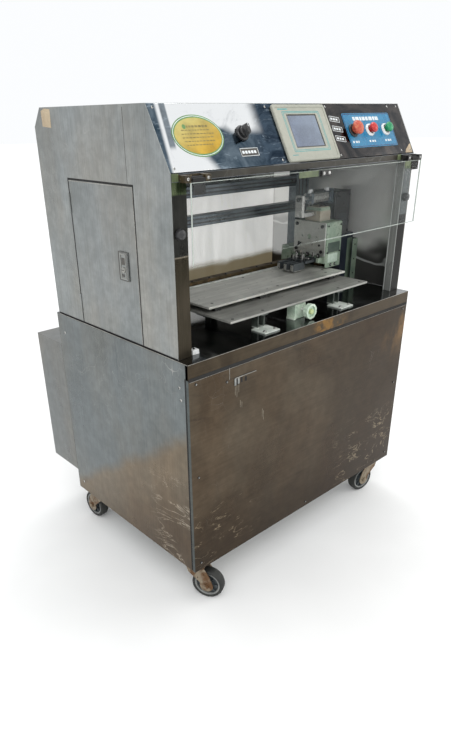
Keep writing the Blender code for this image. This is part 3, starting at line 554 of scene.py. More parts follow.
LOOKS = {
    "side": steel("side_steel", STEEL_LIGHT, STEEL_DARK, grain=(4, 260, 4)),
    "door": steel("door_steel", (0.27, 0.275, 0.265), (0.2, 0.208, 0.198), grain=(4, 260, 4), seed=5.0),
    "base_left": steel("base_side_steel", (0.178, 0.19, 0.186), (0.128, 0.14, 0.139), grain=(4, 260, 4),
                       seed=9.0, zones=[ground_reflection_and_rub]),
    "base_side": steel("base_other_steel", (0.24, 0.25, 0.24), (0.17, 0.18, 0.175), seed=13.0),
    "roof": steel("roof_steel", (0.36, 0.365, 0.355), (0.25, 0.26, 0.25), grain=(260, 4, 4), seed=2.0),
    # The front cover's brown is a painted reflection of the ground
    "front": steel("front_steel", (0.094, 0.071, 0.047), (0.058, 0.041, 0.026), grain=(5, 5, 120),
                   seed=17.0, fine=0.04, zones=[front_stains_and_reflection, return_face]),
    "rear_box": steel("rear_box_steel", (0.192, 0.196, 0.187), (0.146, 0.151, 0.145), grain=(4, 260, 4),
                      seed=21.0),
    "deck": deck_look(),
    "slope": slope_look(),
    "post": post_look("post_steel"),
    "wall": two_faced_wall(),
    "column": column_look(),
    "rear_wall": mirror_look("rear_wall_steel", (0.34, 0.35, 0.34), (0.24, 0.25, 0.24), (0.2, 0.35), 3.0),
    "ceiling": mirror_look("ceiling_mirror", (0.2, 0.22, 0.24), (0.09, 0.1, 0.115), (0.08, 0.2), 5.0),
    "table": table_look("upper_table_metal", (0.62, 0.62, 0.57), (0.44, 0.44, 0.4)),
    "table_low": table_look("lower_table_metal", (0.35, 0.35, 0.32), (0.24, 0.24, 0.22)),
    "legs": leg_look(),
    "opal": opal_look(),
    "acrylic": acrylic_look(),
    # A painted highlight for the upper table's back edge
    "edge": worn("back_highlight_paint", (0.5, 0.53, 0.49), (0.66, 0.68, 0.64), 0.3, scale=20.0, bump=0.05),
    "pane_edge": pane_edge_look(),
    "lintel": steel("lintel_steel", (0.052, 0.048, 0.04), (0.022, 0.021, 0.018), grain=(200, 4, 4),
                    seed=4.0),
    "gap": worn("dark_gap", (0.004, 0.004, 0.004), (0.012, 0.01, 0.008), 0.8, scale=40.0),
    # Painted highlights along sheet edges
    "bright_line": worn("edge_highlight_paint", (0.34, 0.33, 0.3), (0.2, 0.19, 0.17), 0.35, 0.6, scale=14.0),
    "hinge_brown": worn("brown_hinge", (0.04, 0.027, 0.009), (0.02, 0.015, 0.007), 0.5, 0.3, scale=60.0,
                        speck=(0.22, 0.17, 0.08)),
    "lcd": lcd_look(),
    "green_cast": worn("green_casting", (0.2, 0.27, 0.2), (0.3, 0.36, 0.28), 0.5, 0.1,
                       speck=(0.1, 0.13, 0.1)),
    "pale_green": worn("pale_green_plastic", (0.42, 0.54, 0.42), (0.58, 0.66, 0.55), 0.4, scale=40.0),
    "plate": worn("machined_plate", (0.36, 0.37, 0.34), (0.46, 0.47, 0.44), 0.35, 0.6, scale=35.0),
    "zinc": worn("rusty_zinc", (0.25, 0.205, 0.145), (0.13, 0.066, 0.027), 0.55, 0.35, scale=26.0,
                 amount=(0.42, 0.62), bump=0.5, speck=(0.07, 0.03, 0.014)),
    "rust": worn("rusty_bar", (0.105, 0.074, 0.03), (0.052, 0.036, 0.016), 0.65, 0.4, scale=24.0, bump=0.4,
                 speck=(0.21, 0.105, 0.035)),
    "dark": worn("dark_paint", (0.04, 0.048, 0.052), (0.07, 0.08, 0.084), 0.42, 0.3, scale=16.0),
    "extrusion": worn("dark_extrusion", (0.075, 0.095, 0.11), (0.15, 0.178, 0.198), 0.35, 0.4, scale=18.0),
    "black": worn("black_plastic", (0.014, 0.014, 0.015), (0.03, 0.03, 0.031), 0.35, scale=50.0),
    "bolt": worn("blackened_bolt", (0.02, 0.02, 0.021), (0.055, 0.053, 0.05), 0.4, 0.7, scale=90.0),
    "screw": worn("bright_screw", (0.5, 0.5, 0.48), (0.36, 0.36, 0.34), 0.3, 0.9, scale=120.0),
    "tyre": worn("tyre_rubber", (0.012, 0.013, 0.012), (0.034, 0.035, 0.031), 0.7, scale=24.0, bump=0.5,
                 speck=(0.06, 0.058, 0.05)),
    "rim": worn("grey_rim", (0.15, 0.155, 0.15), (0.26, 0.265, 0.25), 0.5, 0.1, scale=40.0),
    "ivory": worn("ivory_plastic", (0.3, 0.305, 0.255), (0.345, 0.345, 0.29), 0.45, scale=9.0, bump=0.03,
                  grain=0.015),
    "teal": worn("teal_print", (0.075, 0.265, 0.265), (0.11, 0.32, 0.31), 0.4, scale=40.0, bump=0.03),
    "blue": worn("blue_label", (0.012, 0.15, 0.29), (0.022, 0.19, 0.34), 0.28, scale=18.0, bump=0.03),
    "red": worn("red_plastic", (0.42, 0.02, 0.018), (0.56, 0.045, 0.04), 0.25, scale=60.0, bump=0.05),
    "red_faded": worn("faded_red_plastic", (0.4, 0.05, 0.03), (0.5, 0.14, 0.06), 0.4, scale=150.0,
                      bump=0.2),
    "green": worn("green_plastic", (0.006, 0.2, 0.075), (0.015, 0.26, 0.1), 0.25, scale=60.0, bump=0.05),
    "white": worn("white_plastic", (0.62, 0.63, 0.62), (0.74, 0.75, 0.74), 0.35, scale=50.0, bump=0.05),
    "print": worn("white_print", (0.55, 0.6, 0.62), (0.7, 0.72, 0.72), 0.4, scale=80.0, bump=0.02),
    "beige": worn("beige_block", (0.3, 0.265, 0.205), (0.38, 0.345, 0.275), 0.5, scale=40.0),
    "tan": worn("tan_tape", (0.37, 0.285, 0.185), (0.46, 0.37, 0.25), 0.6, scale=30.0, bump=0.2),
    "olive": worn("olive_tape", (0.06, 0.082, 0.036), (0.13, 0.155, 0.075), 0.5, scale=50.0, bump=0.2),
    "grey_paint": worn("grey_paint", (0.22, 0.225, 0.225), (0.3, 0.305, 0.305), 0.45, 0.1, scale=20.0),
    "dark_print": worn("dark_print", (0.03, 0.026, 0.022), (0.065, 0.058, 0.046), 0.35, scale=60.0,
                       bump=0.03),
    "sticker": worn("pale_sticker", (0.4, 0.5, 0.41), (0.52, 0.6, 0.52), 0.4, scale=60.0, bump=0.05),
    "dark_green": worn("dark_green_paint", (0.06, 0.085, 0.07), (0.095, 0.125, 0.1), 0.4, scale=30.0),
    "notice_yellow": notice_look(),
    "notice_print": worn("notice_print", (0.15, 0.12, 0.035), (0.24, 0.19, 0.06), 0.4, scale=60.0,
                         bump=0.02),
    "drip": worn("pale_drip", (0.22, 0.19, 0.14), (0.12, 0.1, 0.07), 0.5, scale=60.0, bump=0.02),
    "notice_green": worn("notice_green", (0.085, 0.19, 0.06), (0.13, 0.25, 0.085), 0.35, scale=30.0,
                         bump=0.03),
    "navy": worn("navy_print", (0.01, 0.02, 0.075), (0.018, 0.035, 0.11), 0.3, scale=30.0, bump=0.03),
    "olive_light": worn("yellow_green_plastic", (0.36, 0.44, 0.2), (0.46, 0.53, 0.28), 0.4, scale=50.0),
}

# Geometry


def axes(x_axis, y_axis, z_axis, origin):
    """Placement of millimetre shapes with the given local axes, at a world origin."""
    turn = Matrix((x_axis, y_axis, z_axis)).transposed().to_4x4()
    return Matrix.Translation(origin) @ turn @ Matrix.Scale(MM, 4)


def spot(x, y, z):
    return ORIGIN + Vector((x, y, z)) * MM


def where(node):
    """A CAD node's lowest and highest corners, in millimetres from the deck's corner."""
    return [(corner - ORIGIN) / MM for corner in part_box(node)]


def shift(x, y, z):
    return Matrix.Translation((x, y, z))


def turned(step, count):
    """A turn about local Z by some of the equal steps of a circle."""
    return Matrix.Rotation(2 * pi * step / count, 4, "Z")


FLAT = axes((1, 0, 0), (0, 1, 0), (0, 0, 1), ORIGIN)


def facing(direction, x, y, z):
    """Placement with local Z along the direction, local Y up where it can be."""
    out = Vector(direction).normalized()
    up = Vector((0, 0, 1)) if abs(out.z) < 0.9 else Vector((0, 1, 0))
    across = up.cross(out).normalized()
    return axes(across, out.cross(across), out, spot(x, y, z))


def on_slope(x, s, height=0.0):
    up = Vector((0, cos(SLOPE_ANGLE), sin(SLOPE_ANGLE)))
    out = Vector((0, -sin(SLOPE_ANGLE), cos(SLOPE_ANGLE)))
    start = spot(0, SLOPE_FRONT, SLOPE_BOTTOM)
    return axes((1, 0, 0), up, out, start + (Vector((x, 0, 0)) + up * s + out * height) * MM)


def ellipse(x, y, a, b, count=64):
    return [(x + a * cos(2 * pi * i / count), y + b * sin(2 * pi * i / count)) for i in range(count)]


def ring(x, y, radius, count):
    return ellipse(x, y, radius, radius, count)


def rounded(x0, y0, x1, y1, radius, steps=5):
    """Outline of a rectangle with round corners."""
    corners = ((x1 - radius, y1 - radius, 0), (x0 + radius, y1 - radius, 90),
               (x0 + radius, y0 + radius, 180), (x1 - radius, y0 + radius, 270))
    return [(x + radius * cos(radians(a + 90 * i / steps)), y + radius * sin(radians(a + 90 * i / steps)))
            for x, y, a in corners for i in range(steps + 1)]


def soften(obj, width, crease):
    """Rounds the edges that are sharper than the crease, in degrees, by a width in millimetres."""
    if width:
        edge = obj.modifiers.new("edge", "BEVEL")
        edge.width = width * MM
        edge.segments = 2
        edge.limit_method = "ANGLE"
        edge.angle_limit = radians(crease)


class Shape:
    """Solids gathered into one mesh. Each has the index of its material."""

    def __init__(self):
        self.mesh = bmesh.new()

    def add(self, points, faces, place, index=0):
        verts = [self.mesh.verts.new(place @ Vector(point)) for point in points]
        for face in faces:
            self.mesh.faces.new([verts[i] for i in face]).material_index = index
        return self

    def prism(self, outline, low, high, place=FLAT, index=0, shrink=0.0):
        """An outline raised from low to high; shrink pulls the top in, as on a cast part."""
        count = len(outline)
        cx, cy = sum(p[0] for p in outline) / count, sum(p[1] for p in outline) / count
        top = [(cx + (x - cx) * (1 - shrink), cy + (y - cy) * (1 - shrink)) for x, y in outline]
        points = [(x, y, low) for x, y in outline] + [(x, y, high) for x, y in top]
        faces = [tuple(reversed(range(count))), tuple(range(count, 2 * count))]
        faces += [(i, (i + 1) % count, count + (i + 1) % count, count + i) for i in range(count)]
        return self.add(points, faces, place, index)

    def box(self, low, high, place=FLAT, index=0):
        (x0, y0, z0), (x1, y1, z1) = low, high
        return self.prism([(x0, y0), (x1, y0), (x1, y1), (x0, y1)], z0, z1, place, index)

    def plate(self, outline, holes, low, high, place=FLAT, index=0):
        """An outline with holes, raised from low to high."""
        curve = bpy.data.curves.new("outline", "CURVE")
        curve.dimensions = "2D"
        curve.fill_mode = "BOTH"
        curve.extrude = (high - low) / 2
        for loop in (outline, *holes):
            spline = curve.splines.new("POLY")
            spline.points.add(len(loop) - 1)
            for point, (x, y) in zip(spline.points, loop):
                point.co = (x, y, 0, 1)
            spline.use_cyclic_u = True
        guide = bpy.data.objects.new("outline", curve)
        bpy.context.scene.collection.objects.link(guide)
        bpy.context.view_layer.update()
        graph = bpy.context.evaluated_depsgraph_get()
        flat = bpy.data.meshes.new_from_object(guide.evaluated_get(graph))
        bpy.data.objects.remove(guide)
        bpy.data.curves.remove(curve)
        flat.transform(place @ Matrix.Translation((0, 0, (low + high) / 2)))
        start = len(self.mesh.faces)
        self.mesh.from_mesh(flat)
        bpy.data.meshes.remove(flat)
        self.mesh.faces.ensure_lookup_table()
        fresh = self.mesh.faces[start:]
        for face in fresh:
            face.material_index = index
        bmesh.ops.remove_doubles(self.mesh, verts=list(dict.fromkeys(v for f in fresh for v in f.verts)),
                                 dist=1e-6)
        return self

    def turn(self, profile, place=FLAT, steps=32, index=0):
        """A profile of (radius, height) points turned about local Z."""
        points, rings, faces = [], [], []
        for radius, height in profile:
            count = steps if radius > 0 else 1
            rings.append(list(range(len(points), len(points) + count)))
            points += [(radius * cos(2 * pi * i / steps), radius * sin(2 * pi * i / steps), height)
                       for i in range(count)]
        closed = profile[0][0] > 0 and profile[-1][0] > 0
        for a, b in list(zip(rings, rings[1:])) + ([(rings[-1], rings[0])] if closed else []):
            for i in range(steps):
                j = (i + 1) % steps
                face = [a[i % len(a)], a[j % len(a)], b[j % len(b)], b[i % len(b)]]
                faces.append(tuple(dict.fromkeys(face)))
        return self.add(points, faces, place, index)

    def rod(self, start, end, radius, index=0, steps=24):
        """A round bar between two places."""
        a, b = spot(*start), spot(*end)
        along = (b - a).normalized()
        turn = Vector((0, 0, 1)).rotation_difference(along).to_matrix().to_4x4()
        length = (b - a).length / MM
        place = Matrix.Translation(a) @ turn @ Matrix.Scale(MM, 4)
        c = min(radius, length) * 0.12
        return self.turn([(0, length), (radius - c, length), (radius, length - c), (radius, c),
                          (radius - c, 0), (0, 0)], place, steps, index)

    def tube(self, points, radius, index=0, steps=10):
        """A bent round bar through some places."""
        path = [spot(*p) for p in points]
        along = [(b - a).normalized() for a, b in zip(path, path[1:])]
        side = along[0].orthogonal().normalized()
        rings = []
        for i, centre in enumerate(path):
            here = (along[max(i - 1, 0)] + along[min(i, len(along) - 1)]).normalized()
            side = (side - here * side.dot(here)).normalized()
            other = here.cross(side)
            rings.append([centre + (side * cos(2 * pi * k / steps)
                                    + other * sin(2 * pi * k / steps)) * radius * MM for k in range(steps)])
        flat = [p for r in rings for p in r]
        faces = [(i * steps + k, i * steps + (k + 1) % steps, (i + 1) * steps + (k + 1) % steps,
                  (i + 1) * steps + k) for i in range(len(rings) - 1) for k in range(steps)]
        last = (len(rings) - 1) * steps
        faces += [tuple(reversed(range(steps))), tuple(range(last, last + steps))]
        return self.add(flat, faces, Matrix.Identity(4), index)

    def pan_screw(self, place, radius, index=0, slot_index=1):
        """A pan head with a cross recess shown as two dark bars."""
        r = radius
        self.turn([(0, 0.62 * r), (0.5 * r, 0.55 * r), (0.85 * r, 0.32 * r), (r, 0.05 * r), (r, -0.1 * r),
                   (0, -0.1 * r)], place, 20, index)
        for w, h in ((0.62, 0.13), (0.13, 0.62)):
            self.box((-w * r, -h * r, 0.5 * r), (w * r, h * r, 0.64 * r), place, slot_index)
        return self

    def hex_bolt(self, place, radius, index=0):
        """A hexagonal head on a washer."""
        r = radius
        self.turn([(0, 0.25 * r), (1.25 * r, 0.25 * r), (1.3 * r, 0.15 * r), (1.3 * r, -0.05 * r),
                   (0, -0.05 * r)], place, 20, index)
        self.prism(ring(0, 0, r, 6), 0.1 * r, 0.85 * r, place, index)
        self.turn([(0, 0.98 * r), (0.6 * r, 0.95 * r), (0.82 * r, 0.85 * r), (0, 0.8 * r)], place, 18,
                  index)
        return self

    def cap_screw(self, place, radius, index=0, hole_index=1):
        """A socket head, with its hexagonal hole."""
        r = radius
        self.turn([(0, 0.4 * r), (0.5 * r, 0.4 * r), (0.5 * r, 0.9 * r), (0.85 * r, 0.9 * r), (r, 0.75 * r),
                   (r, -0.1 * r), (0, -0.1 * r)], place, 18, index)
        self.prism(ring(0, 0, 0.48 * r, 6), 0.3 * r, 0.45 * r, place, hole_index)
        return self

    def made(self, name):
        """The mesh as an object in the scene."""
        bmesh.ops.recalc_face_normals(self.mesh, faces=self.mesh.faces)
        mesh = bpy.data.meshes.new(name)
        self.mesh.to_mesh(mesh)
        self.mesh.free()
        obj = bpy.data.objects.new(name, mesh)
        bpy.context.scene.collection.objects.link(obj)
        return obj

    def piece(self, name, looks, body="machine", bevel=0.0, replaces=None):
        """Makes the mesh an object that rides on a body."""
        obj = self.made(name)
        for look in looks.split():
            obj.data.materials.append(LOOKS[look])
        obj.data.shade_smooth()
        obj.data.set_sharp_from_angle(angle=radians(PIECE_CREASE))
        soften(obj, bevel, PIECE_CREASE)
        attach(obj, body)
        if replaces:
            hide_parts(replaces)


def dress(node, look, bevel):
    """Gives a CAD node that stays its material, and softens its edges."""
    obj = frame["nodes"][node]
    obj.data.materials.clear()
    obj.data.materials.append(LOOKS[look])
    weld = obj.modifiers.new("weld", "WELD")
    weld.merge_threshold = 0.01 * MM
    soften(obj, bevel, CAD_CREASE)


# Cabinet


def joint_point(name):
    """A joint's anchor, in millimetres from the deck's corner."""
    joint = next(j for j in frame["joints"] if j["name"] == name)
    return (Vector(joint["pos_m"]) - ORIGIN) / MM


def dress_all(looks, bevel=0.5):
    for node, look in looks.items():
        dress(node, look, bevel)


def dress_cabinet():
    looks = {"base_left_panel": "base_left", "base_right_panel": "base_side", "base_front_panel": "front",
             "base_rear_panel": "base_side", "base_floor": "base_side", "deck_plate": "deck",
             "rear_housing": "rear_box", "electrical_box": "grey_paint", "vacuum_pump": "green_cast",
             "pump_motor": "dark", "upper_left_panel": "side", "upper_right_panel": "wall",
             "roof_panel": "roof", "upper_rear_wall": "rear_wall", "rear_window": "opal",
             "chamber_ceiling": "ceiling", "left_front_post": "post", "right_front_post": "post",
             "control_panel": "slope", "service_door": "door", "service_latch": "door"}
    dress_all(looks)


def make_side_details():
    """Screws, seams, tape and edge strips on the sides."""
    screws = Shape()
    for y, z in ((36, -70), (32, -104), (600, -60), (600, -610)):
        screws.pan_screw(facing(LEFT, 0, y, z), 4.2)
    for y, z in ((30, -70), (30, -350), (30, -610), (605, -70), (605, -350), (605, -610)):
        screws.pan_screw(facing(RIGHT, WIDTH, y, z), 4.2)
    for y, z in ((60, 30), (60, 390), (600, 30), (600, 500), (320, 545)):
        screws.pan_screw(facing(RIGHT, WIDTH - UPPER_SIDE, y, z), 3.6)
    screws.piece("side_screws", "screw bolt")

    seams = Shape()
    seams.box((3.75, 204.4, 397), (4.05, 205.4, 562))
    side = facing(LEFT, UPPER_SIDE, 0, 0)
    seams.box((-482.2, 394.6, -0.1), (-182, 399.5, 0.2), side, 1)
    seams.box((-482.2, 1, -0.1), (-478.6, 396, 0.2), side, 1)
    seams.box((-186, 1, -0.1), (-182.2, 396, 0.2), side, 1)
    seams.box((-620, 0.4, -0.1), (-42, 3.2, 0.15), side, 1)
    seams.piece("side_seams", "dark_print gap")

    tape = Shape()
    tape.prism([(-23, -20), (22, -23), (24, 21), (-6, 23), (-24, 17)], 0, 0.25,
               facing(LEFT, UPPER_SIDE, 558, 542))
    tape.piece("side_tape", "tan", bevel=0.1)


def make_front_details():
    """The cover's finger pull, drips and screws, the gaps round the cover and under the deck's lip, and
    painted highlights along the cover's top edge and the deck's edges.
    """
    front = where("base_front_panel")[0].y
    pull = Shape()
    flat = facing(FRONT, 0, front, 0)
    # Material 1 is a painted highlight along the pull's edges
    pull.box((139.0, -79, 0.0), (140.4, -45, 0.5), flat, 1)
    pull.box((139.0, -79, 0.0), (239, -77.8, 0.3), flat, 2)
    pull.box((160, -81.6, 0.0), (239, -79.2, 1.6), flat, 1)
    pull.box((157, -101, 0.0), (163, -81, 2.0), flat, 3)
    pull.box((163, -101, 0.0), (169, -81, 0.5), flat, 2)
    pull.box((169, -99, 0.0), (175, -82, 2.0), flat, 3)
    pull.box((181, -98, 0.0), (187, -84, 0.4), flat, 2)
    pull.box((196, -99, 0.0), (204, -86, 0.4), flat, 2)
    pull.box((140.4, -77.8, 0.0), (239, -44, 0.15), flat, 0)
    pull.piece("finger_pull", "front bright_line gap rim", bevel=0.1)
    marks = Shape()
    for x, z, length in ((160, -104, 26), (166, -103, 34), (173, -103, 22), (267, -205, 26),
                         (272, -212, 30), (179, -150, 22), (185, -156, 18)):
        marks.box((x, z - length, 0.0), (x + 1.4, z, 0.12), flat)
    marks.piece("front_drips", "drip")
    gap = Shape()
    gap.box((1, -47.0, 0.0), (979, -37.0, 0.4), flat, 0)
    # Painted highlights along the cover's top edge and the deck's front edge
    gap.box((3, -47.8, 0.0), (977, -47.1, 0.6), flat, 1)
    gap.box((0.5, -1.3, 0.0), (979.5, -0.1, 0.5), flat, 1)
    side = facing(LEFT, 0, 0, 0)
    gap.box((-15.0, -642, 0.0), (-9.6, -40, 0.25), side, 0)
    # A painted highlight along the deck's left edge
    gap.box((-620, -1.6, 0.0), (-1, -0.2, 0.3), side, 1)
    gap.piece("panel_gaps", "gap bright_line")
    screws = Shape()
    for x, z in ((24, -57), (130, -82), (24, -330), (24, -620), (956, -57), (956, -330), (956, -620),
                 (490, -628)):
        screws.pan_screw(facing(FRONT, x, front, z), 4.0)
    screws.piece("front_screws", "bolt screw")


def make_rear_details():
    """Louvres, a cover plate, a gland and screws on the rear housing, and screws on the rear wall."""
    low, high = where("rear_housing")
    back = high.y
    vents = Shape()
    for column, row in product((260, 720), range(4)):
        place = facing(BACK, column, back, -231 + 28 * row) @ Matrix.Diagonal((13.4, 1, 1, 1))
        vents.turn([(0, 6), (3, 5.5), (5.5, 3), (6.2, 0), (0, 0)], place, 32)
    vents.piece("rear_louvres", "rear_box", bevel=0.3)
    cover = Shape()
    place = facing(BACK, 710, back, -400)
    cover.prism(rounded(-120, -110, 120, 110, 8), 0, 1.6, place)
    for x, z in product((-108, 108), (-98, 0, 98)):
        cover.pan_screw(place @ shift(x, z, 1.6), 4.5, 1, 2)
    cover.piece("rear_cover_plate", "roof screw bolt", bevel=0.4)
    gland = Shape()
    place = facing(BACK, 900, back, -520)
    gland.prism(ring(0, 0, 14, 6), 0, 6, place)
    gland.turn([(6, 20), (9.5, 20), (11.5, 17), (12, 6), (6, 6)], place, 32)
    gland.turn([(0, 16), (6, 17), (6, 5), (0, 5)], place, 24, 1)
    gland.piece("cable_gland", "black dark_print", bevel=0.4)
    screws = Shape()
    for x, z in product((low.x + 12, high.x - 12), (low.z + 14, (low.z + high.z) / 2, high.z - 14)):
        screws.pan_screw(facing(BACK, x, back, z), 4.2)
    wall = where("upper_rear_wall")[1].y
    for x, z in product((20, 340, 640, 960), (306, 500)):
        screws.pan_screw(facing(BACK, x, wall, z), 4.2)
    screws.piece("rear_screws", "screw bolt")


def make_latch():
    """The latch's raised rims and slotted lock, painted highlights along the door's edges, and its hinge
    barrels.
    """
    face = where("service_latch")[0].x
    pin = joint_point("service_latch_turn")
    place = facing(LEFT, face, pin.y, pin.z)
    rim = Shape()
    rim.plate(rounded(-19.5, -36.5, 19.5, 36.5, 2), [rounded(-17.5, -34.5, 17.5, 34.5, 1.5)], -0.2, 0.5,
              place, 1)
    rim.plate(rounded(-12, -32, 12, 32, 2), [rounded(-9.5, -29.5, 9.5, 29.5, 1.5)], -0.2, 1.0, place, 0)
    rim.turn([(0, 3.0), (5, 3.0), (7.4, 2.0), (7.8, 0), (0, 0)], place @ shift(0, -9, 0), 28)
    rim.box((-5.5, -10, 2.9), (5.5, -8, 3.2), place, 1)
    rim.box((-7, 4, 0.0), (7, 22, 0.35), place, 1)
    rim.box((-7, -27, 0.0), (3, -20, 0.35), place, 1)
    rim.piece("latch_face", "side dark_print", "service_latch", bevel=0.2)
    bright = Shape()
    door_side = facing(LEFT, UPPER_SIDE, 0, 0)
    # Painted highlights along the door's edges
    bright.box((-477.6, 391.8, -0.1), (-186.4, 393.6, 0.3), door_side)
    bright.box((-188.2, 4, -0.1), (-186.6, 392, 0.3), door_side)
    bright.piece("door_edge_highlights", "bright_line", "service_door")
    hinges = Shape()
    joint = joint_point("service_door_swing")
    for z in (60, 335):
        hinges.rod((3.4, joint.y + 1.5, z - 26), (3.4, joint.y + 1.5, z + 26), 2.6)
    hinges.piece("door_hinge_barrels", "door")


# Casters

CASTERS = ("front_left", "rear_left", "front_right", "rear_right")


def make_caster(name):
    """A worn tyre on its core, a fork with its axle, and the plate that bolts it to the cabinet."""
    king = joint_point(f"caster_swivel_{name}")
    low, high = where(f"caster_wheel_{name}")
    centre = (low + high) / 2
    along = Vector((centre.x - king.x, centre.y - king.y, 0)).normalized()
    across = Vector((0, 0, 1)).cross(along)
    radius, half = 50.0, 16.0
    spin = axes(along, across.cross(along), across, ORIGIN + centre * MM)
    wheel = Shape()
    tread = [(38, 12), (41, half - 1.0), (45, half), (47.5, half - 1.5), (49.4, half - 5), (50, half - 9)]
    profile = tread + [(r, -h) for r, h in reversed(tread)]
    wheel.turn(profile, spin, 72)
    for vertex in wheel.mesh.verts:
        local = spin.inverted() @ vertex.co
        angle = atan2(local.y, local.x)
        reach = Vector((local.x, local.y)).length
        if reach > 46:
            dent = 1 - 0.01 * (1 + sin(7 * angle) * cos(12 * angle + 1.0)) * (reach / radius)
            vertex.co = spin @ Vector((local.x * dent, local.y * dent, local.z))
    wheel.piece(f"tyre_{name}", "tyre", f"wheel_{name}")
    core = Shape()
    for side in (1, -1):
        core.turn([(34, 8 * side), (35, 13.2 * side), (39.5, 13.8 * side), (41.6, 12 * side),
                   (41, 6 * side)], spin, 56)
        core.turn([(13, 5 * side), (14, 15 * side), (17.5, 15 * side), (20, 6 * side)], spin, 36, 1)
        for i in range(8):
            turn = spin @ turned(i, 8)
            core.box((16, -1.6, min(4 * side, 12 * side)), (36, 1.6, max(4 * side, 12 * side)), turn, 1)
    core.turn([(13, 7), (39, 7), (39, -7), (13, -7)], spin, 48, 1)
    core.piece(f"wheel_core_{name}", "rim dark", f"wheel_{name}", bevel=0.4,
               replaces=f"caster_wheel_{name}")

    inner, outer = 18.6, 22.4
    ground = ORIGIN + Vector((king.x, king.y, FLOOR)) * MM
    upright = axes(along, (0, 0, 1), along.cross(Vector((0, 0, 1))), ground)
    hub_x, hub_z, boss = (centre - king).to_2d().length, 50.0, 21.0
    outline = [(hub_x + boss * cos(radians(a)), hub_z + boss * sin(radians(a)))
               for a in range(-200, 21, 17)]
    outline += [(44, 84), (30, 108), (24, 114), (-24, 114), (-27, 108), (-22, 92), (-2, 74)]
    fork = Shape()
    for side in (1, -1):
        a, b = sorted((inner * side, outer * side))
        fork.prism(outline, a, b, upright)
        c, d = sorted((outer * side, (outer + 1.2) * side))
        fork.prism([(hub_x - 6, 66), (hub_x + 7, 66), (20, 104), (2, 104)], c, d, upright)
    fork.box((-26, 108.5, -outer), (27, 114, outer), upright)
    flat = Matrix.Translation(ground) @ Matrix.Scale(MM, 4)
    fork.turn([(0, 119.6), (26.5, 119.6), (29, 117.5), (29.5, 114.5), (26, 112), (0, 112)], flat, 48)
    fork.turn([(0, 108.6), (6, 108.6), (7, 104), (11, 103), (11, 108.5)], flat, 6)
    fork.piece(f"fork_plates_{name}", "zinc", f"swivel_{name}", bevel=0.8, replaces=f"caster_fork_{name}")
    nuts = Shape()
    for side in (1, -1):
        place = spin @ shift(0, 0, outer * side) @ Matrix.Rotation(0 if side > 0 else pi, 4, "X")
        nuts.turn([(0, 1.5), (11, 1.5), (11.5, 0.8), (11.5, 0), (0, 0)], place, 28)
        nuts.prism(ring(0, 0, 8.6, 6), 1.2, 6.6, place)
        nuts.turn([(0, 8.6), (3.8, 8.6), (4.5, 7.8), (4.5, 6), (0, 6)], place, 18, 0)
    nuts.turn([(0, outer - 0.5), (5.6, outer - 0.5), (5.6, 0.5 - outer), (0, 0.5 - outer)], spin, 20)
    nuts.piece(f"axle_nuts_{name}", "zinc", f"swivel_{name}", bevel=0.4)
    plate = Shape()
    top = FLOOR + CASTER_HEIGHT
    plate.prism([(king.x + x, king.y + y) for x, y in rounded(-46, -36, 46, 36, 8)], top - 5, top - 0.3)
    for x, y in product((-36, 36), (-26, 26)):
        plate.hex_bolt(facing(DOWN, king.x + x, king.y + y, top - 5), 5.5)
    plate.piece(f"caster_plate_{name}", "zinc", bevel=0.5)


# Control panel


def make_button(name, x, cap_profile, look, collar_look, flange):
    """A notched collar with its contact block behind the slope, and the cap that moves in it."""
    place = on_slope(x, BUTTON_ROW)
    collar = Shape()
    collar.turn([(12.6, 1.4), (12.6, 7.5), (flange - 4, 7.5), (flange - 1.2, 6), (flange, 3.5),
                 (flange, 1.4)], place, 48)
    for i in range(12):
        turn = place @ turned(i, 12)
        collar.box((flange - 4.6, -0.9, 7.2), (flange - 1.6, 0.9, 8.0), turn)
    collar.turn([(9.4, -30), (10.4, -30), (10.4, 3), (9.4, 3)], place, 28)
    collar.box((-14, -17, -52), (14, 17, -30.3), place)
    collar.box((-9, -20, -48), (9, 20, -34), place)
    collar.piece(f"{name}_bezel", collar_look, bevel=0.4, replaces=f"{name}_collar")
    cap = Shape()
    cap.turn(cap_profile + [(7, 4), (7, -4), (0, -4)], place, 48)
    cap.piece(f"{name}_cap", look, f"{name}_button", bevel=0.25, replaces=f"{name}_button")


def make_buttons():
    dome = [(0, 32.5), (7, 32), (12, 30.4), (16.5, 27.4), (19.2, 24), (20, 21), (19.3, 19), (16, 17.5),
            (12.4, 17), (12, 9), (7, 9)]
    head = [(0, 26), (6, 25.6), (10, 24.2), (13, 21.8), (14.2, 19), (14, 16), (12.6, 13.4), (8.8, 12.6),
            (8.6, 8.6), (7, 8.6)]
    estop, stop, start = BUTTONS_AT
    make_button("estop", estop, dome, "red_faded", "black", 19)
    make_button("stop", stop, head, "red", "white", 18)
    make_button("start", start, head, "green", "white", 18)


def make_selector():
    """A ribbed ring with its contact block, and the grip with its pointer."""
    place = on_slope(260, 82)
    base = Shape()
    base.turn([(13.2, 0.4), (13.2, 6.5), (16, 6.5), (18, 4.5), (18.3, 0.4)], place, 48)
    for i in range(24):
        turn = place @ turned(i, 24)
        base.box((17.4, -0.7, 1), (18.9, 0.7, 5.2), turn)
    base.turn([(7.6, -30), (10.6, -30), (10.6, 2.5), (13.4, 2.5), (13.4, 0.4), (7.6, 0.4)], place, 28)
    base.box((-13, -15, -50), (13, 15, -30.3), place)
    base.piece("selector_bezel", "black", bevel=0.3, replaces="selector_ring")
    knob = Shape()
    knob.turn([(0, 13.5), (10.6, 13.5), (12, 12), (12.2, 4), (7, 4), (7, -28), (0, -28)], place, 40)
    knob.prism(rounded(-5.6, -14.6, 5.6, 14.6, 5.5, 8), 12.5, 27.5, place, 0, 0.16)
    knob.piece("selector_grip", "black", "selector_knob", bevel=1.2, replaces="selector_knob")
    line = Shape()
    line.box((-0.7, 3.0, 27.4), (0.7, 12.0, 27.75), place)
    line.piece("selector_pointer", "print", "selector_knob")


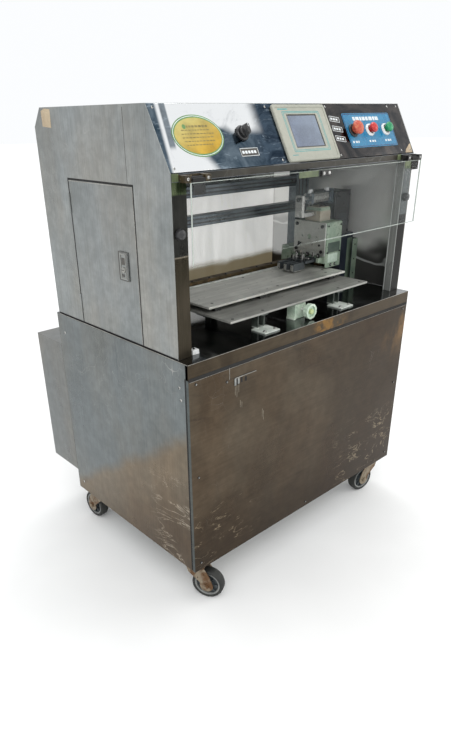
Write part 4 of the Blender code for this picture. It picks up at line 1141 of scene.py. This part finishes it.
def make_touch_panel():
    """A bezel with a raised rim, a printed double border, the screen set back and four clips behind."""
    low, high, place = 0.4, 7.0, on_slope(0, 0)
    screen = rounded(434.5, 36, 552.5, 125, 1.5)
    frame_shape = Shape()
    frame_shape.plate(rounded(390, 0.8, 598, 151.6, 7), [screen], low, high - 1.2, place)
    frame_shape.plate(rounded(391.5, 2.2, 596.5, 150.2, 6), [rounded(398, 9, 590, 143.5, 4)], high - 1.4,
                      high, place)
    frame_shape.box((408, 34, -30), (580, 138, low + 0.5), place)
    frame_shape.piece("touch_bezel", "ivory", bevel=0.8, replaces="touch_panel")
    face, top = 5.75, 5.95
    border = Shape()
    border.plate(rounded(420, 25, 568, 133, 4), [rounded(421.8, 26.8, 566.2, 131.2, 3.4)], face, top, place)
    border.plate(rounded(424.5, 29, 563.5, 129.5, 3.2), [rounded(426, 30.5, 562, 128, 3)], face, top, place)
    border.box((408, 137, face), (446, 140.2, top), place)
    border.box((408, 16, face), (430, 18, top), place)
    border.piece("touch_border", "teal")
    glass = Shape()
    glass.prism(rounded(434.8, 36.3, 552.2, 124.7, 1.4), 2.2, 4.2, place)
    glass.piece("touch_glass", "lcd", bevel=0.3, replaces="touch_screen")
    rim = Shape()
    rim.plate(rounded(434.6, 36.1, 552.4, 124.9, 1.5), [rounded(437.5, 39, 549.5, 122, 1)], 4.2, 4.6, place)
    rim.piece("touch_gasket", "dark_print")
    clips = Shape()
    for x, s in product((412, 576), (50, 122)):
        clips.box((x - 5, s - 7, -26), (x + 5, s + 7, -8), place)
    clips.piece("touch_clips", "dark", bevel=0.6)


def make_blue_plate():
    """The plate round the buttons, with blocks and bars that say nothing."""
    place = on_slope(0, 0)
    plate = Shape()
    holes = [ring(x, BUTTON_ROW, 12.2, 28) for x in BUTTONS_AT]
    plate.plate(rounded(671, 27, 902, 128, 6), holes, 0.3, 1.3, place)
    plate.piece("button_label", "blue", bevel=0.25, replaces="button_plate")
    face, top = 1.25, 1.4
    outline = Shape()
    outline.plate(rounded(673, 29, 900, 126, 5), [rounded(675, 31, 898, 124, 4)], face, top, place)
    outline.piece("button_label_outline", "navy")
    bars = Shape()
    for x, w in ((716, 11), (730, 16), (749, 9), (761, 14), (778, 12), (793, 17), (813, 10), (826, 15)):
        bars.prism(rounded(x, 106, x + w, 117, 1.6), face, top, place)
    for centre, (i, w) in product(BUTTONS_AT, enumerate((9, 12, 7))):
        x = centre - 17 + 12.5 * i
        bars.box((x, 41, face), (x + w * 0.8, 47, top), place)
    bars.piece("button_label_bars", "print")


def make_notices():
    """The oval notice with its broken lines, and the small labels, tape and screws along the slope."""
    place = on_slope(0, 0)
    x, s = 122, 81
    oval = Shape()
    oval.prism(ellipse(x, s, 75.5, 49.5), 0.05, 0.3, place, 0)
    oval.plate(ellipse(x, s, 73, 47), [ellipse(x, s, 71.6, 45.6)], 0.3, 0.38, place, 1)
    oval.prism(ellipse(x, s, 68.5, 42.5), 0.3, 0.42, place, 2)
    oval.turn([(0, 0.6), (5.2, 0.6), (5.4, 0.4), (0, 0.4)], place @ shift(x - 34, s + 22, 0), 28, 0)
    oval.piece("oval_notice", "notice_green print notice_yellow")
    lines = Shape()
    for row in range(6):
        y = s + 22 - 8.6 * row
        reach = 50 * (1 - ((y - s) / 44) ** 2) ** 0.5
        start, half = (x - reach + 16, 2.4) if row == 0 else (x - reach + 2, 1.1)
        step = 0
        while start < x + reach - 8:
            length = 4.5 + 4.0 * abs(sin(2.7 * step + 1.9 * row))
            lines.box((start, y - half, 0.42), (start + length, y + half, 0.5), place)
            start += length + 2.2
            step += 1
    lines.piece("oval_notice_lines", "notice_print")

    labels = Shape()
    for cx, cs, w, h, tilt in ((265, 36, 62, 22, 0), (634, 112, 44, 17, -8), (634, 84, 44, 17, -8),
                               (634, 56, 44, 17, -8)):
        turn = place @ shift(cx, cs, 0) @ Matrix.Rotation(radians(tilt), 4, "Z")
        labels.prism(rounded(-w / 2, -h / 2, w / 2, h / 2, 2), 0.05, 0.3, turn, 0)
        labels.plate(rounded(-w / 2 + 1, -h / 2 + 1, w / 2 - 1, h / 2 - 1, 1.6),
                     [rounded(-w / 2 + 2.2, -h / 2 + 2.2, w / 2 - 2.2, h / 2 - 2.2, 1.2)], 0.3, 0.38, turn,
                     1)
        count = int(w / 9) - 1
        for i in range(count):
            start = -w / 2 + 6 + i * (w - 12) / count
            labels.box((start, -h * 0.16, 0.3), (start + (w - 12) / count * 0.72, h * 0.16, 0.38), turn, 1)
    labels.piece("slope_labels", "dark_print print")
    patch = Shape()
    patch.prism([(930, 2), (968, 1.5), (971, 30), (962, 27), (948, 18), (938, 12)], 0.05, 0.3, place)
    patch.piece("slope_tape", "tan")
    screws = Shape()
    for x, s in product((20, 372, 612, 912, 960), (10, 148)):
        screws.pan_screw(on_slope(x, s), 3.2)
    screws.piece("slope_screws", "screw bolt")


# Guard


def make_guard():
    """The hanging pane's edges, hinge covers and tape, with the lintel's strip and the posts' bumpers."""
    dress_all({"guard_pane": "acrylic", "guard_leaf_left": "gap", "guard_leaf_right": "gap",
               "guard_hinge_left": "hinge_brown", "guard_hinge_right": "bolt"}, 0.4)
    low, high = where("guard_pane")
    edges = Shape()
    edges.box((low.x, low.y - 0.15, low.z - 0.3), (high.x, high.y + 0.15, low.z + 1.5))
    edges.box((low.x - 0.3, low.y - 0.15, low.z), (low.x + 1.2, high.y + 0.15, high.z))
    edges.box((high.x - 2.4, low.y - 0.15, low.z), (high.x + 0.3, high.y + 0.15, high.z))
    edges.box((low.x, low.y - 0.1, high.z - 0.8), (high.x, high.y + 0.1, high.z + 0.2))
    edges.piece("guard_edges", "pane_edge", "guard", bevel=0.3)
    for side, x0, look in (("left", 26, "hinge_brown"), ("right", 906, "bolt")):
        covers = Shape()
        for x in (x0 - 2, x0 + 57):
            covers.prism(rounded(x, 410.6, x + 17, 426.6, 2), 0, 18.5, facing(FRONT, 0, 32.8, 0))
            covers.pan_screw(facing(FRONT, x + 8.5, 14.3, 418.6), 4.0, 1, 2)
        covers.piece(f"guard_hinge_covers_{side}", f"{look} screw bolt", bevel=0.7)
    front = facing(FRONT, 0, low.y - 0.3, 0)
    block = Shape()
    block.prism(rounded(476, 396, 516, 410.5, 1.5), 0, 6, front)
    for x in (485, 507):
        block.turn([(0, 2.4), (2.6, 2.3), (4.4, 1.4), (4.8, 0), (0, 0)], facing(FRONT, x, low.y - 6.3, 403),
                   24, 1)
    block.piece("guard_middle_block", "bolt screw", "guard", bevel=0.6)
    strips = Shape()
    strips.box((392, low.y - 0.55, 396), (470, low.y - 0.3, 411))
    strips.box((880, low.y - 0.55, 398), (904, low.y - 0.3, 411))
    strips.piece("guard_tape", "olive", "guard")
    corner = Shape()
    corner.box((7, 40.2, 412.6), (26, 40.8, 429.6))
    corner.box((886, 40.2, 413), (905, 40.8, 429))
    corner.piece("lintel_tape", "olive", bevel=0.15)
    lintel = where("chamber_ceiling")[0]
    face = Shape()
    face.box((100, lintel.y - 0.6, 413), (884, lintel.y - 0.2, 428.5))
    face.piece("lintel_strip", "lintel", bevel=0.15)
    bumpers = Shape()
    for x in (24, 955):
        bumpers.turn([(0, 12), (8, 11.6), (11.2, 9.8), (12.2, 6), (12.5, 2), (13, 0), (0, 0)],
                     facing(FRONT, x, 41, 301), 36)
    bumpers.piece("post_bumpers", "black", bevel=0.5)


# Work chamber


def dress_chamber():
    looks = {"lower_table_plate": "table_low", "upper_table_plate": "table", "table_leg_left": "legs",
             "table_leg_right": "legs", "handwheel_bracket": "pale_green", "rear_gantry": "extrusion",
             "guide_rail": "rust", "head_housing": "green_cast", "bag_clamp": "dark",
             "cylinder_rod": "screw", "drive_housing": "black", "column_post": "column"}
    dress_all(looks)


def make_gantry():
    """Grooves, ribs and bolts of the slotted frame."""
    face = where("rear_gantry")[0].y
    grooves = Shape()
    for x in (918, 936, 958):
        grooves.box((x, face - 0.25, 4), (x + 5, face + 0.1, 420), FLAT, 0)
    for z, dz in product((226, 314), (8, 20)):
        grooves.box((24, face + 0.75, z + dz), (904, face + 1.1, z + dz + 5), FLAT, 0)
    grooves.piece("gantry_grooves", "black")
    ribs = Shape()
    for z in (226, 314):
        ribs.box((24, face - 0.6, z + 14.5), (904, face + 1.0, z + 18.5))
        ribs.box((24, face - 0.6, z + 1.0), (904, face + 1.0, z + 3.0))
        ribs.box((24, face - 0.6, z + 30), (904, face + 1.0, z + 32))
    ribs.piece("gantry_ribs", "extrusion", bevel=0.3)
    bolts = Shape()
    for z, x in product((242, 330), (896, 880)):
        bolts.cap_screw(facing(FRONT, x, face - 0.2, z), 4.2, 0, 1)
    bolts.piece("gantry_bolts", "bolt black")


def make_rail():
    """The rail's end blocks and bolts, and a painted highlight strip along the table's back."""
    blocks = Shape()
    for x in (52, 950):
        blocks.prism([(x, 346), (x + 20, 346), (x + 20, 394), (x, 394)], 70, 88)
        blocks.cap_screw(facing(UP, x + 10, 356, 88), 4.5, 1, 1)
        blocks.cap_screw(facing(UP, x + 10, 384, 88), 4.5, 1, 1)
    for i in range(9):
        blocks.cap_screw(facing(UP, 110 + 72 * i, 363, 83), 3.4, 1, 1)
    blocks.piece("rail_caps", "rust bolt", bevel=0.6)
    strip = Shape()
    # A painted highlight along the table's back edge
    strip.box((196, 331.5, 75), (800, 340, 77.4))
    strip.piece("table_back_highlight", "edge", "upper_table", bevel=0.3)


def make_table():
    """Screws in both plates and bolts in the legs' feet."""
    top = where("upper_table_plate")[1].z
    marks = Shape()
    for x, y in ((740, 170), (765, 205), (782, 260), (230, 165), (230, 315), (500, 165), (500, 315)):
        marks.turn([(0, 0.5), (2.4, 0.5), (4.2, 0.25), (4.4, 0), (0, 0)], facing(UP, x, y, top), 20)
    marks.piece("table_screws", "bolt", "upper_table")
    top = where("lower_table_plate")[1].z
    screws = Shape()
    for x in (214, 330, 671, 782):
        screws.turn([(0, 0.6), (2.6, 0.6), (4.4, 0.3), (4.6, 0), (0, 0)], facing(UP, x, 66, top), 20)
    screws.piece("lower_table_screws", "bolt")
    feet = Shape()
    for x, dx, y in product((330, 671), (-21, 21), (36, 290)):
        feet.hex_bolt(facing(UP, x + dx, y, 4), 4.6)
    feet.piece("leg_bolts", "screw", bevel=0.2)


def make_handwheel():
    """The lobed wheel with its boss and threaded shaft, the table's stop and the bracket's bolts."""
    place = facing(FRONT, *HANDWHEEL_CENTRE)
    wheel = Shape()
    rim = []
    for i in range(72):
        a = 2 * pi * i / 72
        r = 22.6 - 1.9 * max(0.0, cos(9 * a)) ** 4
        rim.append((r * cos(a), r * sin(a)))
    wheel.plate(rim, [ring(0, 0, 16.5, 48)], -7, 7, place)
    wheel.turn([(0, 2.2), (9, 2.2), (15.5, 1.2), (17, 0.6), (17, -4), (0, -4)], place, 48)
    wheel.turn([(9, -4), (9, -20), (5, -20), (5, -4)], place, 32)
    wheel.piece("handwheel_disc", "pale_green", "handwheel", bevel=0.7, replaces="handwheel")
    boss = Shape()
    boss.turn([(0, 10), (5.6, 10), (7.6, 8.6), (8.6, 2), (0, 2)], place, 36)
    boss.piece("handwheel_boss", "olive_light", "handwheel", bevel=0.4)
    screw = Shape()
    profile = [(0, -20), (4.9, -20)]
    pitch, turns = 4, 50
    for i in range(turns):
        z = -22 - pitch * i
        profile += [(4.9, z), (4.0, z - 1.2), (4.0, z - 2.0), (4.9, z - 3.2)]
    screw.turn(profile + [(4.9, -222), (0, -222)], place, 20)
    screw.piece("handwheel_screw", "screw", "handwheel")
    stop = Shape()
    stop.prism([(54, 44), (76, 44), (76, 62), (54, 62)], 0.3, 12, FLAT, 0, 0.08)
    stop.cap_screw(facing(UP, 65, 53, 12), 3.0, 1, 1)
    stop.piece("table_stop", "white bolt", bevel=0.6)
    low, high = where("handwheel_bracket")
    bolts = Shape()
    for x in (low.x + 7, high.x - 7):
        bolts.cap_screw(facing(FRONT, x, low.y, 37), 3.4)
    bolts.prism(rounded(low.x - 9, low.y - 4, low.x + 1, high.y - 6, 2), 0.3, 5)
    bolts.piece("bracket_bolts", "pale_green bolt", bevel=0.4)


def make_head():
    """The head's drilled side plate, its front cover and the block on top."""
    low, high = where("head_side_plate")
    side = facing(LEFT, low.x, 0, 0)
    holes = [ring(-y, z, 3.3, 16) for y in (212, 320) for z in (132, 213)]
    holes += [ring(-(low.y + 22 + 9.6 * i), z, 1.7, 10) for i in range(10) for z in (126, 134)]
    holes += [ring(-266, 176, 9, 28), ring(-236, 176, 3, 14), ring(-296, 176, 3, 14)]
    plate = Shape()
    plate.plate(rounded(-high.y, low.z, -low.y, high.z, 3), holes, -4.7, 0.3, side)
    plate.piece("head_plate", "plate", "head", bevel=0.4, replaces="head_side_plate")
    bolts = Shape()
    for y, z in product((212, 320), (132, 213)):
        bolts.cap_screw(facing(LEFT, low.x, y, z), 5.6, 0, 1)
    for y in (222, 310):
        bolts.cap_screw(facing(LEFT, low.x, y, 152), 3.6, 0, 1)
    bolts.piece("head_plate_bolts", "bolt black", "head", bevel=0.25)

    cover = Shape()
    front = facing(FRONT, 809, 200, 0)
    cover.prism(rounded(-39, 79, 39, 223, 4), 0, 2.2, front)
    for x, z in product((-32, 32), (128, 214)):
        cover.cap_screw(front @ shift(x, z, 2.2), 3.0, 1, 2)
    cover.prism(rounded(-30, 128, 32, 160, 3), 2.1, 3.4, front, 4)
    cover.prism(rounded(-27, 95, 24, 123, 2), 2.15, 2.6, front, 3)
    for x in (-10, 12):
        cover.turn([(0, 4.6), (3, 4.5), (5.2, 3.4), (5.6, 2.2), (0, 2.2)], front @ shift(x, 87, 0), 24, 2)
        cover.turn([(0, 4.9), (1.6, 4.9), (1.8, 4.5), (0, 4.5)], front @ shift(x, 87, 0), 12, 3)
    cover.piece("head_cover", "green_cast bolt black sticker dark_green", "head", bevel=0.4)
    cap = Shape()
    cap.prism([(770, 231), (824, 231), (824, 293), (770, 293)], 226, 258)
    cap.prism([(774, 235), (820, 235), (820, 289), (774, 289)], 258, 270)
    for x, y in product((782, 812), (242, 282)):
        cap.cap_screw(facing(UP, x, y, 270), 3.4, 1, 1)
    cap.piece("head_block", "beige bolt", "head", bevel=1.0)


def make_clamp():
    """Springs, bolts and pads on the clamp fingers."""
    foot = where("bag_clamp")[0].z
    parts = Shape()
    for y in (237, 266, 295):
        parts.cap_screw(facing(UP, 690, y, 106), 4.0, 0, 1)
        parts.prism(rounded(651, y - 6, 699, y + 6, 2), foot - 1.8, foot + 0.2, FLAT, 2)
        parts.prism([(645.5, y - 5), (649, y - 5), (649, y + 5), (645.5, y + 5)], foot + 1, foot + 20, FLAT,
                    2)
    for y in (251.5, 280.5):
        coil = [(718 + 5 * cos(t * 0.9), y + 5 * sin(t * 0.9), 108.5 + 0.45 * t) for t in range(42)]
        parts.tube(coil, 0.9, 2, 6)
    for y in (232, 300):
        parts.hex_bolt(facing(UP, 735, y, 108), 4.2, 0)
    for i, y in enumerate((238, 252, 268, 284, 298)):
        parts.rod((708 + 7 * (i % 3), y, 107.5), (708 + 7 * (i % 3), y, 118 + 4 * (i % 2)), 2.6,
                  (0, 2)[i % 2], 14)
    parts.rod((724, 232, 113), (724, 300, 113), 2.2, 2, 14)
    parts.piece("clamp_details", "bolt black screw", "bag_clamp", bevel=0.3)
    pads = Shape()
    for i, y in enumerate((222, 244, 268, 292, 314)):
        pads.prism(rounded(756.8, y - 5, 763.2, y + 5, 1.5), 112, 124 + 3 * (i % 2), FLAT, i % 2)
        pads.pan_screw(facing(LEFT, 756.8, y, 118), 2.6, 1 - i % 2, 0)
    pads.piece("head_catches", "bolt screw", "head", bevel=0.3)


def make_cylinder():
    """The air cylinder with its end caps and tie rods, its air fittings, and the nut on its rod."""
    y, z = CYLINDER_AXIS
    body = Shape()
    body.rod((752, y, z), (836, y, z), 14.2, 0, 40)
    for a, b in ((742, 753), (834, 845.5)):
        body.box((a, y - 15.5, z - 15.5), (b, y + 15.5, z + 15.5), FLAT, 1)
    for dy, dz in product((-11.5, 11.5), (-11.5, 11.5)):
        body.rod((740.5, y + dy, z + dz), (847, y + dy, z + dz), 2.0, 0, 14)
        body.prism(ring(0, 0, 3.6, 6), 0, 3, facing(LEFT, 742, y + dy, z + dz), 0)
    body.box((845.2, y - 18, 275), (851.7, y + 18, 322), FLAT, 1)
    body.piece("cylinder_body", "screw extrusion", bevel=0.5, replaces="air_cylinder")
    fittings = Shape()
    for x in (748, 839):
        top = z + 15.5
        fittings.rod((x, y, top), (x, y, top + 12), 5.2, 0, 24)
        fittings.prism([(p[0] + x, p[1] + y) for p in ring(0, 0, 6.2, 6)], top, top + 4)
        fittings.rod((x, y, top + 8), (x + (12 if x < 800 else -12), y, top + 8), 4.4, 0, 24)
    fittings.piece("cylinder_fittings", "white", bevel=0.4)
    yoke = Shape()
    yoke.prism(ring(0, 0, 8, 6), 0, 5, facing(LEFT, 697, y, z))
    yoke.turn([(0, 2.5), (4.4, 2.5), (5.2, 1.5), (5.2, 0), (0, 0)], facing(LEFT, 692, y, z), 20)
    yoke.piece("rod_nut", "bolt", "head", bevel=0.4)


def make_drive():
    """The drive's covers and the column's foot."""
    low, high = where("drive_housing")
    front = facing(FRONT, (low.x + high.x) / 2, low.y, (low.z + high.z) / 2)
    cover = Shape()
    cover.prism(rounded(-38, -66, 38, 66, 5), 0, 2.4, front)
    for x, z in product((-31, 31), (-58, 58)):
        cover.cap_screw(front @ shift(x, z, 2.4), 3.6, 1, 2)
    for i in range(5):
        cover.prism(rounded(-24, -40 + 9 * i, 24, -36 + 9 * i, 1.9), 2.3, 3.0, front, 2)
    cover.piece("drive_cover", "black bolt dark", bevel=0.6)
    side = facing(LEFT, low.x, 283, 220)
    ends = Shape()
    ends.prism(rounded(-38, -44, 38, 44, 4), 0, 1.8, side)
    ends.turn([(0, 6), (12, 6), (15, 4.5), (16, 1.8), (0, 1.8)], side @ shift(0, -18, 0), 32, 1)
    for a, b in product((-32, 32), (-38, 38)):
        ends.cap_screw(side @ shift(a, b, 1.8), 3.0, 1, 2)
    ends.piece("drive_end_plate", "dark bolt black", bevel=0.5)
    foot = Shape()
    foot.prism(rounded(890, 226, 973.5, 314, 4), 0.3, 8)
    foot.prism([(944, 218), (973.4, 218), (973.4, 239.6), (970.4, 239.6), (970.4, 221), (944, 221)], 8, 150)
    for y in (236, 304):
        foot.hex_bolt(facing(UP, 898, y, 8), 5.4, 1)
    for z in (30, 80, 130):
        foot.pan_screw(facing(FRONT, 959, 218, z), 3.0, 1, 1)
    foot.piece("column_foot", "column bolt", bevel=0.6)


# Scene


def make_floor():
    """White paper that brightens far from the machine, so that no horizon shows."""
    floor = Shape()
    floor.prism(ring(0, 0, FLOOR_RADIUS, 96), -20, 0, Matrix.Scale(MM, 4))
    obj = floor.made("floor")
    paint = Paint("floor_paper", metallic=0.0)
    cloud = paint.noise(2.0, detail=3.0)
    distance = paint.node("ShaderNodeVectorMath", {0: paint.point}, operation="LENGTH").outputs["Value"]
    paint.set(base_color=paint.cloudy(cloud, (0.86, 0.86, 0.85), (0.9, 0.9, 0.89)),
              roughness=paint.spread(cloud, 0.75, 0.9), emission_color=STUDIO_WHITE,
              emission_strength=paint.level(distance, 1.2, 4.5, 0.0, 0.24))
    obj.data.materials.append(paint.material)


def make_studio():
    """A white surround and three soft lights."""
    world = bpy.data.worlds.new("studio")
    world.use_nodes = True
    back = world.node_tree.nodes["Background"]
    back.inputs["Color"].default_value = (*STUDIO_WHITE, 1)
    back.inputs["Strength"].default_value = 1.0
    bpy.context.scene.world = world
    bpy.context.scene.view_settings.view_transform = "Standard"
    area_light("key", (-2.2, -2.6, 3.4), (0, 0, 0.8), 2.4, 60)
    area_light("top", (0.4, 0.6, 3.6), (0, 0, 0.9), 2.0, 40)
    area_light("fill", (2.8, -2.4, 1.8), (0, 0, 0.7), 2.0, 25, (1.0, 0.98, 0.95))


make_camera()
make_floor()
make_studio()
dress_cabinet()
make_side_details()
make_front_details()
make_rear_details()
make_latch()
for caster in CASTERS:
    make_caster(caster)
make_buttons()
make_selector()
make_touch_panel()
make_blue_plate()
make_notices()
make_guard()
dress_chamber()
make_gantry()
make_rail()
make_table()
make_handwheel()
make_head()
make_clamp()
make_cylinder()
make_drive()
